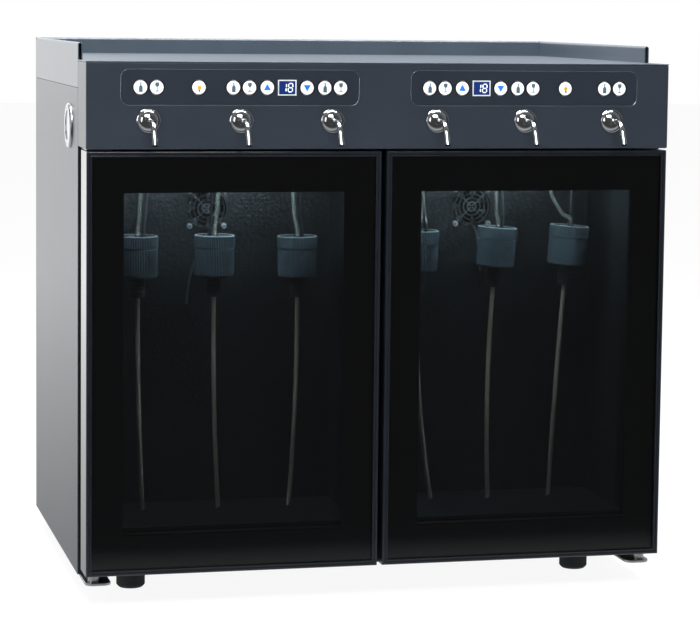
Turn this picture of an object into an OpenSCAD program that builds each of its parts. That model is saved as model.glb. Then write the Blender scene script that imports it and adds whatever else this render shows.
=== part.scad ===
// Wine preservation dispenser: two cooled chambers with glass doors for six bottles,
// a head with six pouring spouts and two rows of push buttons, and a railed top.
// Millimetres, +Z up, the front faces -Y. The origin lies on the surface that the feet
// stand on, below the middle of the whole object's box.
// Depths count back from the front plane of the doors and the head, heights from the feet.

/* [Cabinet] */
// Width over the side panels
width = 650; // [640:1:690]
// Depth from the front plane to the back edge of the side panels
depth = 457; // [430:1:520]
// Depth of the zone in front of the cabinet that holds the doors and the head
door_zone = 65; // [63:1:75]
// Height of the underside of the cabinet above the surface it stands on
foot_h = 25; // [22:1:35]
// Thickness of the steel sheet of panels, pan and cover
sheet_t = 1.2; // [0.8:0.1:2]
// Gap between one sheet and the next
sheet_gap = 0.3; // [0.2:0.05:0.6]
// Height of the rails above the top
rail_h = 18.5; // [12:0.5:40]
// Thickness of the double wall of a rail
rail_t = 5; // [3.6:0.1:6]
// Depth that the skirt of the cover reaches down below the top
skirt_drop = 30.3; // [15:0.1:60]
// Diameter of a foot
foot_d = 32; // [24:1:44]
// Distance of the feet from the sides of the cabinet
foot_in_x = 65; // [40:1:90]
// Distance of the front feet from the front plane
foot_front_y = 106; // [95:1:140]
// Distance of the rear feet from the back
foot_rear_in = 37; // [30:1:80]
// Diameter of the threaded stud of a foot
stud_d = 8; // [6:1:10]
// Length of the stud above the cabinet's underside
stud_l = 20; // [14:1:24]

/* [Doors] */
// Height of a door
door_h = 456.3; // [440:0.1:490]
// Height of a door's lower edge above the cabinet's underside
door_lift = 10.9; // [9:0.1:16]
// Thickness of a door without its gasket
door_t = 42; // [42:0.5:46]
// Gap between the two doors
centre_gap = 5.8; // [3:0.1:9]
// Distance of a door from the side of the cabinet
side_inset = 0.6; // [0:0.1:2]
// Width of the frame's front lip
lip_w = 6; // [4.5:0.1:9]
// Thickness of the frame's outer wall
frame_wall = 2; // [1.5:0.1:3]
// Thickness of one pane
pane_t = 4; // [3:0.5:4]
// Gap between the panes
pane_gap = 12; // [8:1:12]
// Distance of the hinge pin from the door's outer edge
pin_in = 12; // [10:0.5:13]
// Distance of the hinge pin from the front plane
pin_back = 30; // [30:0.5:33]
// Diameter of a hinge pin
pin_d = 6; // [4:0.5:7]
// Radial clearance of a pin, a stud or a shaft in its bore
running_gap = 0.05; // [0.03:0.01:0.09]
// Thickness of a hinge bracket below the door
bracket_t = 3; // [2:0.1:4]
// Width of a hinge bracket
bracket_w = 28; // [24:1:34]
// Distance of a hinge bracket from the side of the cabinet
bracket_in = 3; // [1:0.5:4]
// Distance of a lower bracket's front edge from the front plane
bracket_front = 18; // [12:1:22]
// Distance of a lower bracket's back edge from the front plane
bracket_back = 115; // [105:1:130]
// Width of the door gasket
gasket_w = 8; // [6:0.5:9]
// Gap that the closed gasket leaves to the cabinet
soft_gap = 0.3; // [0.2:0.05:0.5]

/* [Chambers] */
// Inner width of a chamber
chamber_w = 289; // [284:1:290]
// Distance between the inner walls of the two chambers
divider_w = 28; // [27:1:32]
// Inner depth of a chamber
chamber_d = 140; // [130:1:170]
// Inner height of a chamber
chamber_h = 400; // [380:1:400]
// Height of the chamber floor above the cabinet's underside
floor_lift = 50; // [46:1:52]
// Thickness of the liner sheet
liner_t = 1.5; // [1:0.1:2]
// Thickness of the insulation behind the chambers
foam_back = 25; // [20:1:40]
// Thickness of the insulation above the chambers
foam_top = 23.5; // [18:0.5:24]

/* [Pouring] */
// Distance between two spouts
spout_pitch = 100; // [90:1:105]
// Height of the spouts above the cabinet's underside
spout_lift = 500; // [494:1:502]
// Outer diameter of a spout tube
spout_d = 6; // [5:0.5:8]
// Bore of a spout tube
spout_bore = 4; // [2:0.5:4]
// Straight length of a spout in front of the head
spout_run = 20; // [14:1:30]
// Radius of a spout's bend
spout_bend = 20; // [14:1:26]
// Angle of a spout's bend
spout_angle = 65; // [45:1:85]
// Straight length behind a spout's mouth
spout_leg = 14; // [8:1:24]
// Diameter of a spout's rosette
rosette_d = 26; // [20:1:30]
// Height of a spout's rosette
rosette_h = 8; // [5:0.5:11]

/* [Controls] */
// Width of a control panel
panel_w = 259; // [250:1:270]
// Height of a control panel
panel_h = 38; // [34:1:40]
// Corner radius of a control panel
panel_r = 9; // [4:1:14]
// Height of the panels' middle above the cabinet's underside
panel_lift = 535.5; // [533:0.5:537]
// Depth of a control panel's face below the face of the head
panel_sink = 0.8; // [0.4:0.1:1.2]
// Diameter of a push button
button_d = 15.6; // [12:0.2:16]
// Gap around a push button
button_gap = 0.4; // [0.2:0.05:0.5]
// Travel of a push button
button_travel = 0.8; // [0.5:0.1:1]
// Half the distance between the two buttons of a spout
pair_half = 8.75; // [8.6:0.05:9.5]
// Distance of the display from the middle of its panel
display_x = 50; // [47:0.5:52]
// Distance of an arrow button from the display's middle
arrow_x = 21.8; // [20:0.1:23]
// Distance of the light button from the middle of its panel
light_x = 46; // [40:1:60]
// Width of a display
display_w = 20.4; // [16:0.2:22]
// Height of a display
display_h = 16.8; // [12:0.2:20]

/* [Bottle heads] */
// Diameter of a bottle cap's upper tier
cap_d = 46; // [40:1:50]
// Height of a bottle cap
cap_h = 46; // [36:1:50]
// Height of a cap's upper tier
cap_tier = 14; // [8:1:18]
// Distance of the bottle caps from the front plane
cap_y = 135; // [125:1:145]
// Diameter of the stopper below a cap
stopper_d = 18; // [14:0.5:20]
// Length of the stopper below a cap
stopper_l = 22; // [14:1:30]
// Diameter of a dip tube
dip_d = 5; // [4:0.5:6]
// Height of a dip tube's end above the chamber floor
dip_end = 5; // [3:1:20]
// Distance between two wine glands in a chamber's ceiling
port_pitch = 86; // [80:1:92]
// Distance of a gas gland behind its wine gland
gas_back = 8; // [7:1:14]
// Diameter of a gland
gland_d = 7; // [6:0.5:9]
// Outer diameter of a wine or gas hose
hose_d = 5; // [4:0.5:6]
// Outer diameter of a temperature probe's lead
lead_d = 2.4; // [2:0.1:3]

/* [Cooling and services] */
// Side of a circulation fan
fan_size = 50; // [40:1:60]
// Thickness of a circulation fan
fan_t = 15; // [12:1:18]
// Distance between the screws of a circulation fan
fan_pitch = 40; // [30:1:42]
// Height of the circulation fans above the cabinet's underside
fan_lift = 390; // [330:1:395]
// Side of the exhaust fan
exhaust_size = 120; // [92:1:130]
// Thickness of the exhaust fan
exhaust_t = 25; // [20:1:30]
// Distance between the screws of the exhaust fan
exhaust_pitch = 105; // [80:1:110]
// Height of the exhaust fan above the cabinet's underside
exhaust_lift = 305; // [200:1:400]
// Diameter of a fan shaft
shaft_d = 3; // [2:0.5:4]
// Thickness of a fan guard's wire
wire_t = 1.6; // [1.2:0.1:2.5]
// Diameter of the port cover on the left side
cover_d = 50; // [40:1:56]
// Height that the port cover stands proud of the side
cover_t = 3; // [2:0.5:5]
// Distance of the port cover from the front plane
cover_y = 134.4; // [110:0.1:200]
// Height of the port cover above the cabinet's underside
cover_lift = 489; // [300:1:500]
// Bore of the gas inlet
gas_bore_d = 8.1; // [6.1:0.1:10.1]
// Depth of the gas inlet's bore
gas_bore_l = 16; // [10:1:18]
// Diameter of a screw's shank
screw_d = 3; // [2.5:0.1:4]

/* [Hidden] */
$fn = 64;
LEFT = -1;
RIGHT = 1;
SIDES = [LEFT, RIGHT];
PLACES = [-1, 0, 1];
cut = 1;

// Heights
floor_z = foot_h;
door_z0 = foot_h + door_lift;
door_z1 = door_z0 + door_h;
head_gap = 2.4;
fascia_z0 = door_z1 + head_gap;
fascia_h = 92.2;
fascia_z1 = fascia_z0 + fascia_h;
top_z = fascia_z1 + sheet_t;
skirt_z = top_z - skirt_drop;
chamber_z0 = foot_h + floor_lift;
chamber_z1 = chamber_z0 + chamber_h;
foam_z1 = chamber_z1 + liner_t + foam_top;
spout_z = foot_h + spout_lift;
panel_z = foot_h + panel_lift;
fan_z = foot_h + fan_lift;
exhaust_z = foot_h + exhaust_lift;
cover_z = foot_h + cover_lift;

// Depths
frame_t = 2;
frame_y1 = door_zone + frame_t;
chamber_y1 = door_zone + chamber_d;
liner_y1 = chamber_y1 + liner_t;
foam_y1 = liner_y1 + foam_back;
rear_y = depth + sheet_t;
guard_proud = 5;

// Widths and the frame of the doors
half_w = width / 2;
chamber_x = (divider_w + chamber_w) / 2;
door_w = half_w - side_inset - centre_gap / 2;
pin_x = half_w - side_inset - pin_in;
foot_x = half_w - foot_in_x;
fascia_t = 2;
cabinet_inner = half_w - sheet_t - sheet_gap;

// Origin: middle of the box over the port cover, the spouts' mouths and the rear guard
spout_reach = spout_run + spout_bend * sin(spout_angle) + spout_leg * cos(spout_angle)
    + spout_d / 2 * sin(spout_angle);
shift_x = cover_t / 2;
shift_y = (spout_reach - rear_y - guard_proud) / 2;

// Door section
lip_y0 = 0.6;
lip_y1 = 2.4;
pane_slack = 0.3;
pane_in = frame_wall + pane_slack;
pane_y1 = lip_y1 + 2 * pane_t + pane_gap;
flange_w = 8;
flange_t = 1.5;
boss_w = 14;
boss_h = 14;
inner_y1 = 56;
gasket_y1 = door_zone - soft_gap;
// Insets of rings from the hinge edge, free edge, lower edge and upper edge of a door
gasket_in = [pin_in + 0.5, 1.5, 24, 6];
inner_out = [pin_in - 2, 1.5, 10, 4];
inner_in = [gasket_in[0] + gasket_w + 3.5, 16, gasket_in[2] + gasket_w + 4, 18];
pin_bite = 12;
upper_bracket_t = 2;
washer_gap = 0.1;

// Control panel section
flange_back = 1.8;
panel_flange = 4;
panel_back = fascia_t + flange_back;
button_face = 0.2;
ear_y0 = panel_back + 0.1;
ear_t = 1;
ear_h = button_d + 4.8;
stem_l = 2;
stem_end = ear_y0 + ear_t + stem_l;
switch_y0 = stem_end + button_travel + 0.1;
board_y0 = switch_y0 + 3.2;
board_t = 1.6;
post_d = 6;
post_x = panel_w / 2 - 8;
post_z = panel_h / 2 - 6;

// Hanging pieces, left to right: caps over the bottles they were set on
CAP_X = [-249, -162, -67, 76, 170, 257];
CAP_TOP = [391, 391, 389, 394, 397, 398];
CAP_TILT = [0, 0.5, -0.5, 1, 4, 4.5];
DIP_TURN = [3, 4, -5, 11, 7, 2];
GAS_DX = [8, -8, 8, 8, 9, 16];
GAS_ON_CAP = [[7, 3], [-4, 7], [6, 5], [8, 0], [6, 5], [4, 7]];
nipple_h = 2;
plug_flange = 1.5;
gland_flange_t = 2;
gland_top = foam_z1 + 3;
function port_x(i) = (i < 3 ? -chamber_x : chamber_x) + (i % 3 - 1) * port_pitch;
function spout_x(i) = (i < 3 ? -chamber_x : chamber_x) + (i % 3 - 1) * spout_pitch;
// A point of a cap's own frame, whose origin is the middle of the cap's top
function on_cap(i, p) = [CAP_X[i] + p[0] * cos(CAP_TILT[i]) + p[2] * sin(CAP_TILT[i]),
    cap_y + p[1], CAP_TOP[i] - p[0] * sin(CAP_TILT[i]) + p[2] * cos(CAP_TILT[i])];

// Routes of the hoses from the ceiling down: bends as distances from the gland and heights
WINE_BENDS = [
    [[-1, 0, 444], [-3, 0, 414]],
    [[1, 0, 444], [-2, 0, 414]],
    [[0, 0, 444], [2, 0, 414]],
    [[7, 0, 446], [7, 0, 416]],
    [[8, 0, 446], [9, 0, 416]],
    [[-7, 0, 452], [-11, 0, 438], [-7, 0, 427], [4, 0, 411]]];
GAS_BENDS = [
    [[-1, 0, 440], [-4, -3, 412]],
    [[3, 0, 440], [2, 0, 412]],
    [[1, 0, 440], [1, -2, 412]],
    [[1, 0, 440], [3, -4, 412]],
    [[8, 0, 444], [9, -4, 414]],
    [[1, 0, 440], [0, -2, 412]]];
// Routes of the probe leads down the chambers' back walls: across, in front of the wall, height
LEAD_ROUTES = [
    [[-6, 0, 378], [-6, 3, 378], [-6, 7, 376], [-9, 8, 370], [-14, 8, 358], [-19, 7, 342], [-22, 6, 324],
        [-24, 6, 306]],
    [[2, 0, 392], [2, 3, 392], [2, 7, 390], [4, 8, 385], [6, 8, 374], [8, 7, 362], [9, 6, 350], [10, 6, 338]]];
probe_d = 4;
probe_l = 18;

// Cooling and services
fan_bore = fan_size - 4;
exhaust_bore = exhaust_size - 8;
strut_t = 3;
hub_share = 0.36;
fan_pocket = fan_size + 12;
fin_base = 6;
peltier_t = 4;
sink_size = 120;
sink_base = 8;
sink_fin = 40;
bar_z = foam_z1;
valve_y0 = door_zone - 5;
valve_y1 = valve_y0 + 40;
gas_bar_y0 = cap_y + gas_back + 35;
gas_bar_h = 24;
gas_pipe_z = bar_z + 14;
gas_pipe_x = -280;
gas_pipe_y = depth - 32;
inlet_z = foot_h + 75;
regulator_h = 50;
mains_x = 230;

module placed() {
    translate([shift_x, shift_y, 0]) children();
}

module block(x, y, z) {
    translate([x[0], y[0], z[0]]) cube([x[1] - x[0], y[1] - y[0], z[1] - z[0]]);
}

// Cylinder along Y from y[0] to y[1]
module rod_y(d, x, y, z) {
    translate([x, y[0], z]) rotate([-90, 0, 0]) cylinder(d = d, h = y[1] - y[0]);
}

module rod_z(d, x, y, z) {
    translate([x, y, z[0]]) cylinder(d = d, h = z[1] - z[0]);
}

module rounded_outline(w, h, r) {
    square([w - 2 * r, h], center = true);
    square([w, h - 2 * r], center = true);
    for (x = [-1, 1], y = [-1, 1]) translate([x * (w / 2 - r), y * (h / 2 - r)]) circle(r);
}

// Plate with round corners that faces the front
module plate_y(w, h, r, x, y, z) {
    translate([x, y[0], z]) rotate([-90, 0, 0]) linear_extrude(y[1] - y[0]) rounded_outline(w, h, r);
}

// Tube swept along a route of points, one ring of sides at each
module swept(route, d, sides = 8) {
    n = len(route);
    dirs = [for (i = [0:n - 1]) let (a = route[max(i - 1, 0)], b = route[min(i + 1, n - 1)])
        (b - a) / norm(b - a)];
    rings = [for (i = [0:n - 1], k = [0:sides - 1])
        let (t = dirs[i], u0 = cross(t, [1, 0, 0]), u = u0 / norm(u0), v = cross(t, u),
            a = 360 * k / sides) route[i] + d / 2 * (cos(a) * u + sin(a) * v)];
    walls = [for (i = [0:n - 2], k = [0:sides - 1], h = [0, 1])
        let (p = i * sides + k, q = i * sides + (k + 1) % sides)
            h == 0 ? [p, p + sides, q] : [q, p + sides, q + sides]];
    ends = [[for (k = [0:sides - 1]) k], [for (k = [sides - 1:-1:0]) (n - 1) * sides + k]];
    polyhedron(points = rings, faces = concat(walls, ends));
}

/* Cabinet shell */

module rear_screws(d, l = 8) {
    for (x = SIDES, k = [0:4])
        rod_y(d, x * (half_w - 7), [rear_y - l, rear_y + 0], foot_h + 30 + k * 115);
}

module base_pan() {
    color("dimgray") placed() difference() {
        union() {
            block([-cabinet_inner, cabinet_inner], [door_zone, depth - sheet_t - sheet_gap],
                [floor_z, floor_z + sheet_t]);
            foot_places() rod_z(stud_d + 6, 0, 0, [floor_z, floor_z + stud_l + 1]);
        }
        foot_places() rod_z(stud_d + 2 * running_gap, 0, 0, [floor_z - cut, floor_z + stud_l + 2]);
        bracket_screws(screw_d + 0.4, [floor_z - cut, floor_z + sheet_t + cut]);
    }
}

module foot_places() {
    for (x = SIDES, y = [foot_front_y, depth - foot_rear_in]) translate([x * foot_x, y, 0]) children();
}

module foot(side, y) {
    color("#1c1f22") placed() translate([side * foot_x, y, 0]) {
        rotate_extrude() polygon([[0, 0], [foot_d / 2 - 3, 0], [foot_d / 2, 3],
            [foot_d / 2, foot_h - 1], [foot_d / 2 - 1, foot_h], [0, foot_h]]);
        rod_z(stud_d, 0, 0, [foot_h - 1, foot_h + stud_l]);
    }
}

module side_panels() {
    color("#2a2d33") placed() for (s = SIDES) mirror([s == LEFT ? 0 : 1, 0, 0]) difference() {
        union() {
            block([-half_w, -half_w + sheet_t], [door_zone, depth], [foot_h, skirt_z - sheet_gap]);
            block([-half_w, -half_w + 14], [depth - sheet_t, depth], [foot_h, skirt_z - sheet_gap]);
        }
        rear_screws(screw_d + 0.4, 12);
        if (s == LEFT) cover_screws(screw_d + 0.4, [0, cover_t + sheet_t + cut]);
    }
}

module rear_panel() {
    color("#33363b") placed() difference() {
        block([-half_w + sheet_gap, half_w - sheet_gap], [depth, rear_y],
            [foot_h + 2, skirt_z - sheet_gap]);
        rear_screws(screw_d + 0.4, 12);
        rod_y(exhaust_bore, 0, [depth - cut, rear_y + cut], exhaust_z);
        exhaust_screws(screw_d + 0.4, 12);
        rod_y(14.4, gas_pipe_x, [depth - cut, rear_y + cut], inlet_z);
        block([mains_x - 14, mains_x + 14], [depth - cut, rear_y + cut], [inlet_z - 10, inlet_z + 10]);
        for (s = SIDES, k = [0:9])
            block([s * 150 - 40, s * 150 + 40], [depth - cut, rear_y + cut],
                [foot_h + 130 + k * 12, foot_h + 134 + k * 12]);
    }
}

// Section of a rail: a folded sheet with a round top, hollow and open in front
module rail_section(drop) {
    r = rail_t / 2;
    difference() {
        union() {
            translate([0, -drop]) square([sheet_t, drop + rail_h - r]);
            square([rail_t, rail_h - r]);
            translate([r, rail_h - r]) circle(r);
        }
        translate([sheet_t, -drop - cut])
            square([rail_t - 2 * sheet_t, drop + cut + rail_h - r]);
        translate([r, rail_h - r]) circle(r - sheet_t);
    }
}

module top_cover() {
    color("#3a3f47") placed() {
        block([-half_w + rail_t - sheet_t, half_w - rail_t + sheet_t], [0, rear_y - rail_t + sheet_t],
            [top_z - sheet_t, top_z]);
        for (s = SIDES) mirror([s == LEFT ? 0 : 1, 0, 0]) {
            block([-half_w, -half_w + rail_t], [0, door_zone], [top_z - sheet_t, top_z]);
            translate([-half_w, rear_y, top_z]) rotate([90, 0, 0])
                linear_extrude(rear_y - door_zone) rail_section(skirt_drop);
        }
        translate([-half_w, rear_y, top_z]) rotate([90, 0, 90])
            linear_extrude(width) mirror([1, 0]) rail_section(skirt_drop);
    }
}

module front_frame() {
    color("#15171a") placed() difference() {
        block([-cabinet_inner, cabinet_inner], [door_zone, frame_y1],
            [floor_z + sheet_t + sheet_gap, fascia_z0 - sheet_gap]);
        for (s = SIDES) liner_outside(s, sheet_gap);
    }
}

/* Head */

module fascia() {
    color("#2f353e") placed() difference() {
        block([-half_w, half_w], [0, door_zone], [fascia_z0, fascia_z1]);
        block([-half_w + fascia_t, half_w - fascia_t], [fascia_t, door_zone + cut],
            [fascia_z0 + fascia_t, fascia_z1 - fascia_t]);
        for (s = SIDES)
            plate_y(panel_w + 2 * sheet_gap, panel_h + 2 * sheet_gap, panel_r + sheet_gap,
                s * chamber_x, [-cut, fascia_t + cut], panel_z);
        for (i = [0:5]) rod_y(spout_d + 4, spout_x(i), [-cut, fascia_t + cut], spout_z);
        upper_bracket_screws(screw_d + 0.4, [fascia_z0 - cut, fascia_z0 + fascia_t + cut]);
    }
}

// Middles of the push buttons of one panel: pairs, arrows, light
function button_places(s) = concat(
    [for (p = PLACES, h = [-1, 1]) p * spout_pitch + h * pair_half],
    [-s * display_x - arrow_x, -s * display_x + arrow_x, s * light_x]);

module control_panels() {
    color("#20252d") placed() for (s = SIDES) translate([s * chamber_x, 0, panel_z]) {
        difference() {
            union() {
                plate_y(panel_w, panel_h, panel_r, 0, [panel_sink, panel_back], 0);
                plate_y(panel_w + 2 * panel_flange, panel_h + 2 * panel_flange,
                    panel_r + panel_flange, 0, [fascia_t, panel_back], 0);
            }
            for (x = button_places(s))
                rod_y(button_d + 2 * button_gap, x, [panel_sink - cut, panel_back + cut], 0);
            plate_y(display_w + 2 * sheet_gap, display_h + 2 * sheet_gap, 1, -s * display_x,
                [panel_sink - cut, panel_back + cut], 0);
        }
        for (x = SIDES, z = SIDES) rod_y(post_d, x * post_x, [panel_back, board_y0], z * post_z);
    }
}

module control_boards() {
    color("darkgreen") placed() for (s = SIDES) translate([s * chamber_x, 0, panel_z]) {
        block([-panel_w / 2 + 3, panel_w / 2 - 3], [board_y0, board_y0 + board_t],
            [-panel_h / 2 + 1, panel_h / 2 - 1]);
        for (x = button_places(s)) block([x - 3, x + 3], [switch_y0, board_y0], [-3, 3]);
        plate_y(display_w, display_h, 0.8, -s * display_x, [panel_sink - 0.2, board_y0], 0);
    }
}

module push_button(s, k) {
    color("white") placed() translate([s * chamber_x + button_places(s)[k], 0, panel_z]) {
        rod_y(button_d, 0, [button_face, ear_y0 + ear_t], 0);
        block([-4, 4], [ear_y0, ear_y0 + ear_t], [-ear_h / 2, ear_h / 2]);
        rod_y(4, 0, [ear_y0, stem_end], 0);
    }
}

// Straight run, bend and leg of a spout, with a faint ridge where the leg starts
module spout_sweep(d, back, tip) {
    rod_y(d, 0, [-spout_run, back], 0);
    translate([0, -spout_run, -spout_bend]) rotate([180, -90, 0]) {
        rotate_extrude(angle = spout_angle) translate([spout_bend, 0]) circle(d = d);
        rotate([0, 0, spout_angle]) translate([spout_bend, 0, 0]) rotate([-90, 0, 0]) {
            cylinder(d = d, h = spout_leg + tip);
            translate([0, 0, -0.4]) cylinder(d = d + 0.2, h = 0.8);
        }
    }
}

module pour_spouts() {
    dome_r = (pow(rosette_d / 2, 2) + pow(rosette_h, 2)) / 2 / rosette_h;
    color("silver") placed() for (i = [0:5]) translate([spout_x(i), 0, spout_z]) difference() {
        union() {
            spout_sweep(spout_d, valve_y0, 0);
            rotate([90, 0, 0]) rotate_extrude() intersection() {
                translate([0, rosette_h - dome_r]) circle(dome_r);
                square([rosette_d, rosette_h]);
            }
            rod_y(spout_d + 3.6, 0, [0, fascia_t], 0);
            rod_y(spout_d + 8, 0, [fascia_t, fascia_t + 4], 0);
        }
        spout_sweep(spout_bore, valve_y0 + cut, cut);
    }
}

/* Doors */

// Puts a left door's pieces, drawn from its hinge edge, at either side
module on_door(s) {
    placed() mirror([s == LEFT ? 0 : 1, 0, 0]) translate([-half_w + side_inset, 0, 0]) children();
}

// Ring around a door between two sets of insets: hinge edge, free edge, lower edge, upper edge
module door_ring(outer, inner, y) {
    difference() {
        block([outer[0], door_w - outer[1]], y, [door_z0 + outer[2], door_z1 - outer[3]]);
        block([inner[0], door_w - inner[1]], [y[0] - cut, y[1] + cut],
            [door_z0 + inner[2], door_z1 - inner[3]]);
    }
}

function even(a) = [a, a, a, a];

module hinge_bosses(gap) {
    for (z = [[door_z0, door_z0 + boss_h + gap], [door_z1 - boss_h - gap, door_z1]])
        block([frame_wall / 2, pin_in + boss_w / 2 + gap],
            [pin_back - boss_w / 2 - gap, pin_back + boss_w / 2 + gap], z);
}

module door_frame(s) {
    color("#23272e") on_door(s) difference() {
        union() {
            door_ring(even(0), even(frame_wall), [lip_y0, door_t]);
            door_ring(even(0), even(lip_w), [lip_y0, lip_y1]);
            door_ring(even(0), even(1.2), [0, lip_y1]);
            door_ring(even(lip_w - 1.6), even(lip_w), [0, lip_y1]);
            door_ring(even(0), even(flange_w), [door_t - flange_t, door_t]);
            hinge_bosses(0);
        }
        rod_z(pin_d + 2 * running_gap, pin_in, pin_back, [door_z0 - cut, door_z0 + boss_h + cut]);
        rod_z(pin_d + 2 * running_gap, pin_in, pin_back, [door_z1 - boss_h - cut, door_z1 + cut]);
    }
}

module door_glass(s) {
    color("#101317") on_door(s) {
        for (y = [lip_y1, pane_y1 - pane_t])
            block([pane_in, door_w - pane_in], [y, y + pane_t], [door_z0 + pane_in, door_z1 - pane_in]);
        door_ring(even(pane_in + 6), even(pane_in + 14), [lip_y1 + pane_t, pane_y1 - pane_t]);
    }
}

module door_inner_frame(s) {
    color("#141517") on_door(s) difference() {
        union() {
            door_ring(even(pane_in), even(pane_in + 14),
                [pane_y1 + pane_slack, door_t - flange_t - pane_slack]);
            door_ring(even(flange_w + 0.4), even(pane_in + 14), [door_t - flange_t - 1, door_t]);
            door_ring(inner_out, inner_in, [door_t, inner_y1]);
        }
        hinge_bosses(pane_slack);
    }
}

module door_gasket(s) {
    color("#202224") on_door(s)
        door_ring(gasket_in, gasket_in + even(gasket_w), [inner_y1, gasket_y1]);
}

module bracket_screws(d, z) {
    for (s = SIDES, y = [bracket_back - 10, bracket_back - 30])
        rod_z(d, s * (half_w - bracket_in - bracket_w / 2), y, z);
}

module upper_bracket_screws(d, z) {
    for (s = SIDES, y = [46, 58]) rod_z(d, s * pin_x, y, z);
}

module hinge_brackets() {
    r = 9;
    color("lightgray") placed() for (s = SIDES) mirror([s == LEFT ? 0 : 1, 0, 0]) {
        difference() {
            union() {
                translate([bracket_in - half_w, bracket_front, foot_h - bracket_t])
                    linear_extrude(bracket_t) {
                        translate([0, r]) square([bracket_w, bracket_back - bracket_front - r]);
                        translate([r, 0]) square([bracket_w - 2 * r, r + cut]);
                        for (x = [r, bracket_w - r]) translate([x, r]) circle(r);
                    }
                rod_z(pin_d + 6, -pin_x, pin_back, [foot_h - cut, door_z0 - washer_gap]);
                rod_z(pin_d, -pin_x, pin_back, [foot_h - cut, door_z0 + pin_bite]);
            }
            bracket_screws(screw_d + 0.4, [foot_h - bracket_t - cut, foot_h + cut]);
        }
        difference() {
            union() {
                block([bracket_in - half_w, bracket_in - half_w + bracket_w], [pin_back - 12, door_zone],
                    [fascia_z0 - upper_bracket_t, fascia_z0]);
                rod_z(pin_d, -pin_x, pin_back, [door_z1 - pin_bite, fascia_z0]);
            }
            upper_bracket_screws(screw_d + 0.4, [fascia_z0 - upper_bracket_t - cut, fascia_z0 + cut]);
        }
    }
}

/* Chambers */

module liner_outside(s, gap) {
    block([s * chamber_x - chamber_w / 2 - liner_t - gap, s * chamber_x + chamber_w / 2 + liner_t + gap],
        [door_zone - cut, liner_y1 + gap], [chamber_z0 - liner_t - gap, chamber_z1 + liner_t + gap]);
}

module fan_screws(d, l) {
    for (s = SIDES, x = SIDES, z = SIDES)
        rod_y(d, s * chamber_x + x * fan_pitch / 2, [chamber_y1 - wire_t - 0.6, chamber_y1 + l],
            fan_z + z * fan_pitch / 2);
}

module chamber_liner(s) {
    color("#1f2225") placed() difference() {
        block([s * chamber_x - chamber_w / 2 - liner_t, s * chamber_x + chamber_w / 2 + liner_t],
            [door_zone, liner_y1], [chamber_z0 - liner_t, chamber_z1 + liner_t]);
        block([s * chamber_x - chamber_w / 2, s * chamber_x + chamber_w / 2],
            [door_zone - cut, chamber_y1], [chamber_z0, chamber_z1]);
        rod_y(fan_bore, s * chamber_x, [chamber_y1 - cut, liner_y1 + cut], fan_z);
        fan_screws(screw_d + 0.4, 20);
        gland_bodies(gland_d + 2 * sheet_gap, chamber_z1 + liner_t + cut);
    }
}

module gland_bodies(d, top) {
    for (i = [0:5]) {
        rod_z(d, port_x(i), cap_y, [chamber_z1 - cut, top]);
        rod_z(d, port_x(i) + GAS_DX[i], cap_y + gas_back, [chamber_z1 - cut, top]);
    }
}

module hose_glands() {
    color("#26282b") placed() {
        gland_bodies(gland_d, gland_top);
        for (i = [0:5], g = [0, 1])
            rod_z(gland_d + 3, port_x(i) + g * GAS_DX[i], cap_y + g * gas_back,
                [chamber_z1 - gland_flange_t, chamber_z1]);
    }
}

module insulation() {
    color("khaki") placed() difference() {
        block([-cabinet_inner, cabinet_inner], [frame_y1, foam_y1],
            [floor_z + sheet_t + sheet_gap, foam_z1]);
        for (s = SIDES) {
            liner_outside(s, 0);
            block([s * chamber_x - fan_pocket / 2, s * chamber_x + fan_pocket / 2],
                [liner_y1 - cut, foam_y1 + cut], [fan_z - fan_pocket / 2, fan_z + fan_pocket / 2]);
        }
        sink_studs(6);
        gland_bodies(gland_d + 2 * sheet_gap, foam_z1 + cut);
        foot_places() rod_z(stud_d + 6 + 1, 0, 0, [floor_z, floor_z + stud_l + 2]);
    }
}

module light_strips() {
    color("whitesmoke") placed() for (s = SIDES)
        block([s * chamber_x - 120, s * chamber_x + 120], [door_zone + 5, door_zone + 17],
            [chamber_z1 - 8, chamber_z1]);
}

/* Bottle heads */

module bottle_caps() {
    color("#2e3a40") placed() for (i = [0:5])
        translate([CAP_X[i], cap_y, CAP_TOP[i]]) rotate([0, CAP_TILT[i], 0]) {
            difference() {
                union() {
                    rod_z(cap_d, 0, 0, [-cap_tier, 0]);
                    rod_z(cap_d - 2.5, 0, 0, [-cap_tier - 1, -cap_tier]);
                    rod_z(cap_d - 1.5, 0, 0, [-cap_h, -cap_tier - 1]);
                }
                rod_z(cap_d - 6, 0, 0, [-2, cut]);
            }
            rod_z(hose_d + 3, 0, 0, [-2, nipple_h]);
            rod_z(hose_d + 1, GAS_ON_CAP[i][0], GAS_ON_CAP[i][1], [-2, nipple_h]);
            rod_z(4, -12, 4, [-2, 0.6]);
            rod_z(stopper_d + 12, 0, 0, [-cap_h - plug_flange, -cap_h]);
            rod_z(stopper_d - 2, 0, 0, [-cap_h - plug_flange - stopper_l, -cap_h - plug_flange]);
            for (k = [1:3])
                rod_z(stopper_d, 0, 0, [-cap_h - plug_flange - 5 * k - 1.5, -cap_h - plug_flange - 5 * k]);
        }
}

// Arc of tube that starts downwards and turns towards +X
module curled(d, length, turn) {
    r = length * 180 / PI / abs(turn);
    mirror([turn < 0 ? 1 : 0, 0, 0]) translate([r, 0, 0]) rotate([-90, 0, 180])
        rotate_extrude(angle = abs(turn)) translate([r, 0]) circle(d = d);
}

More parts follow.
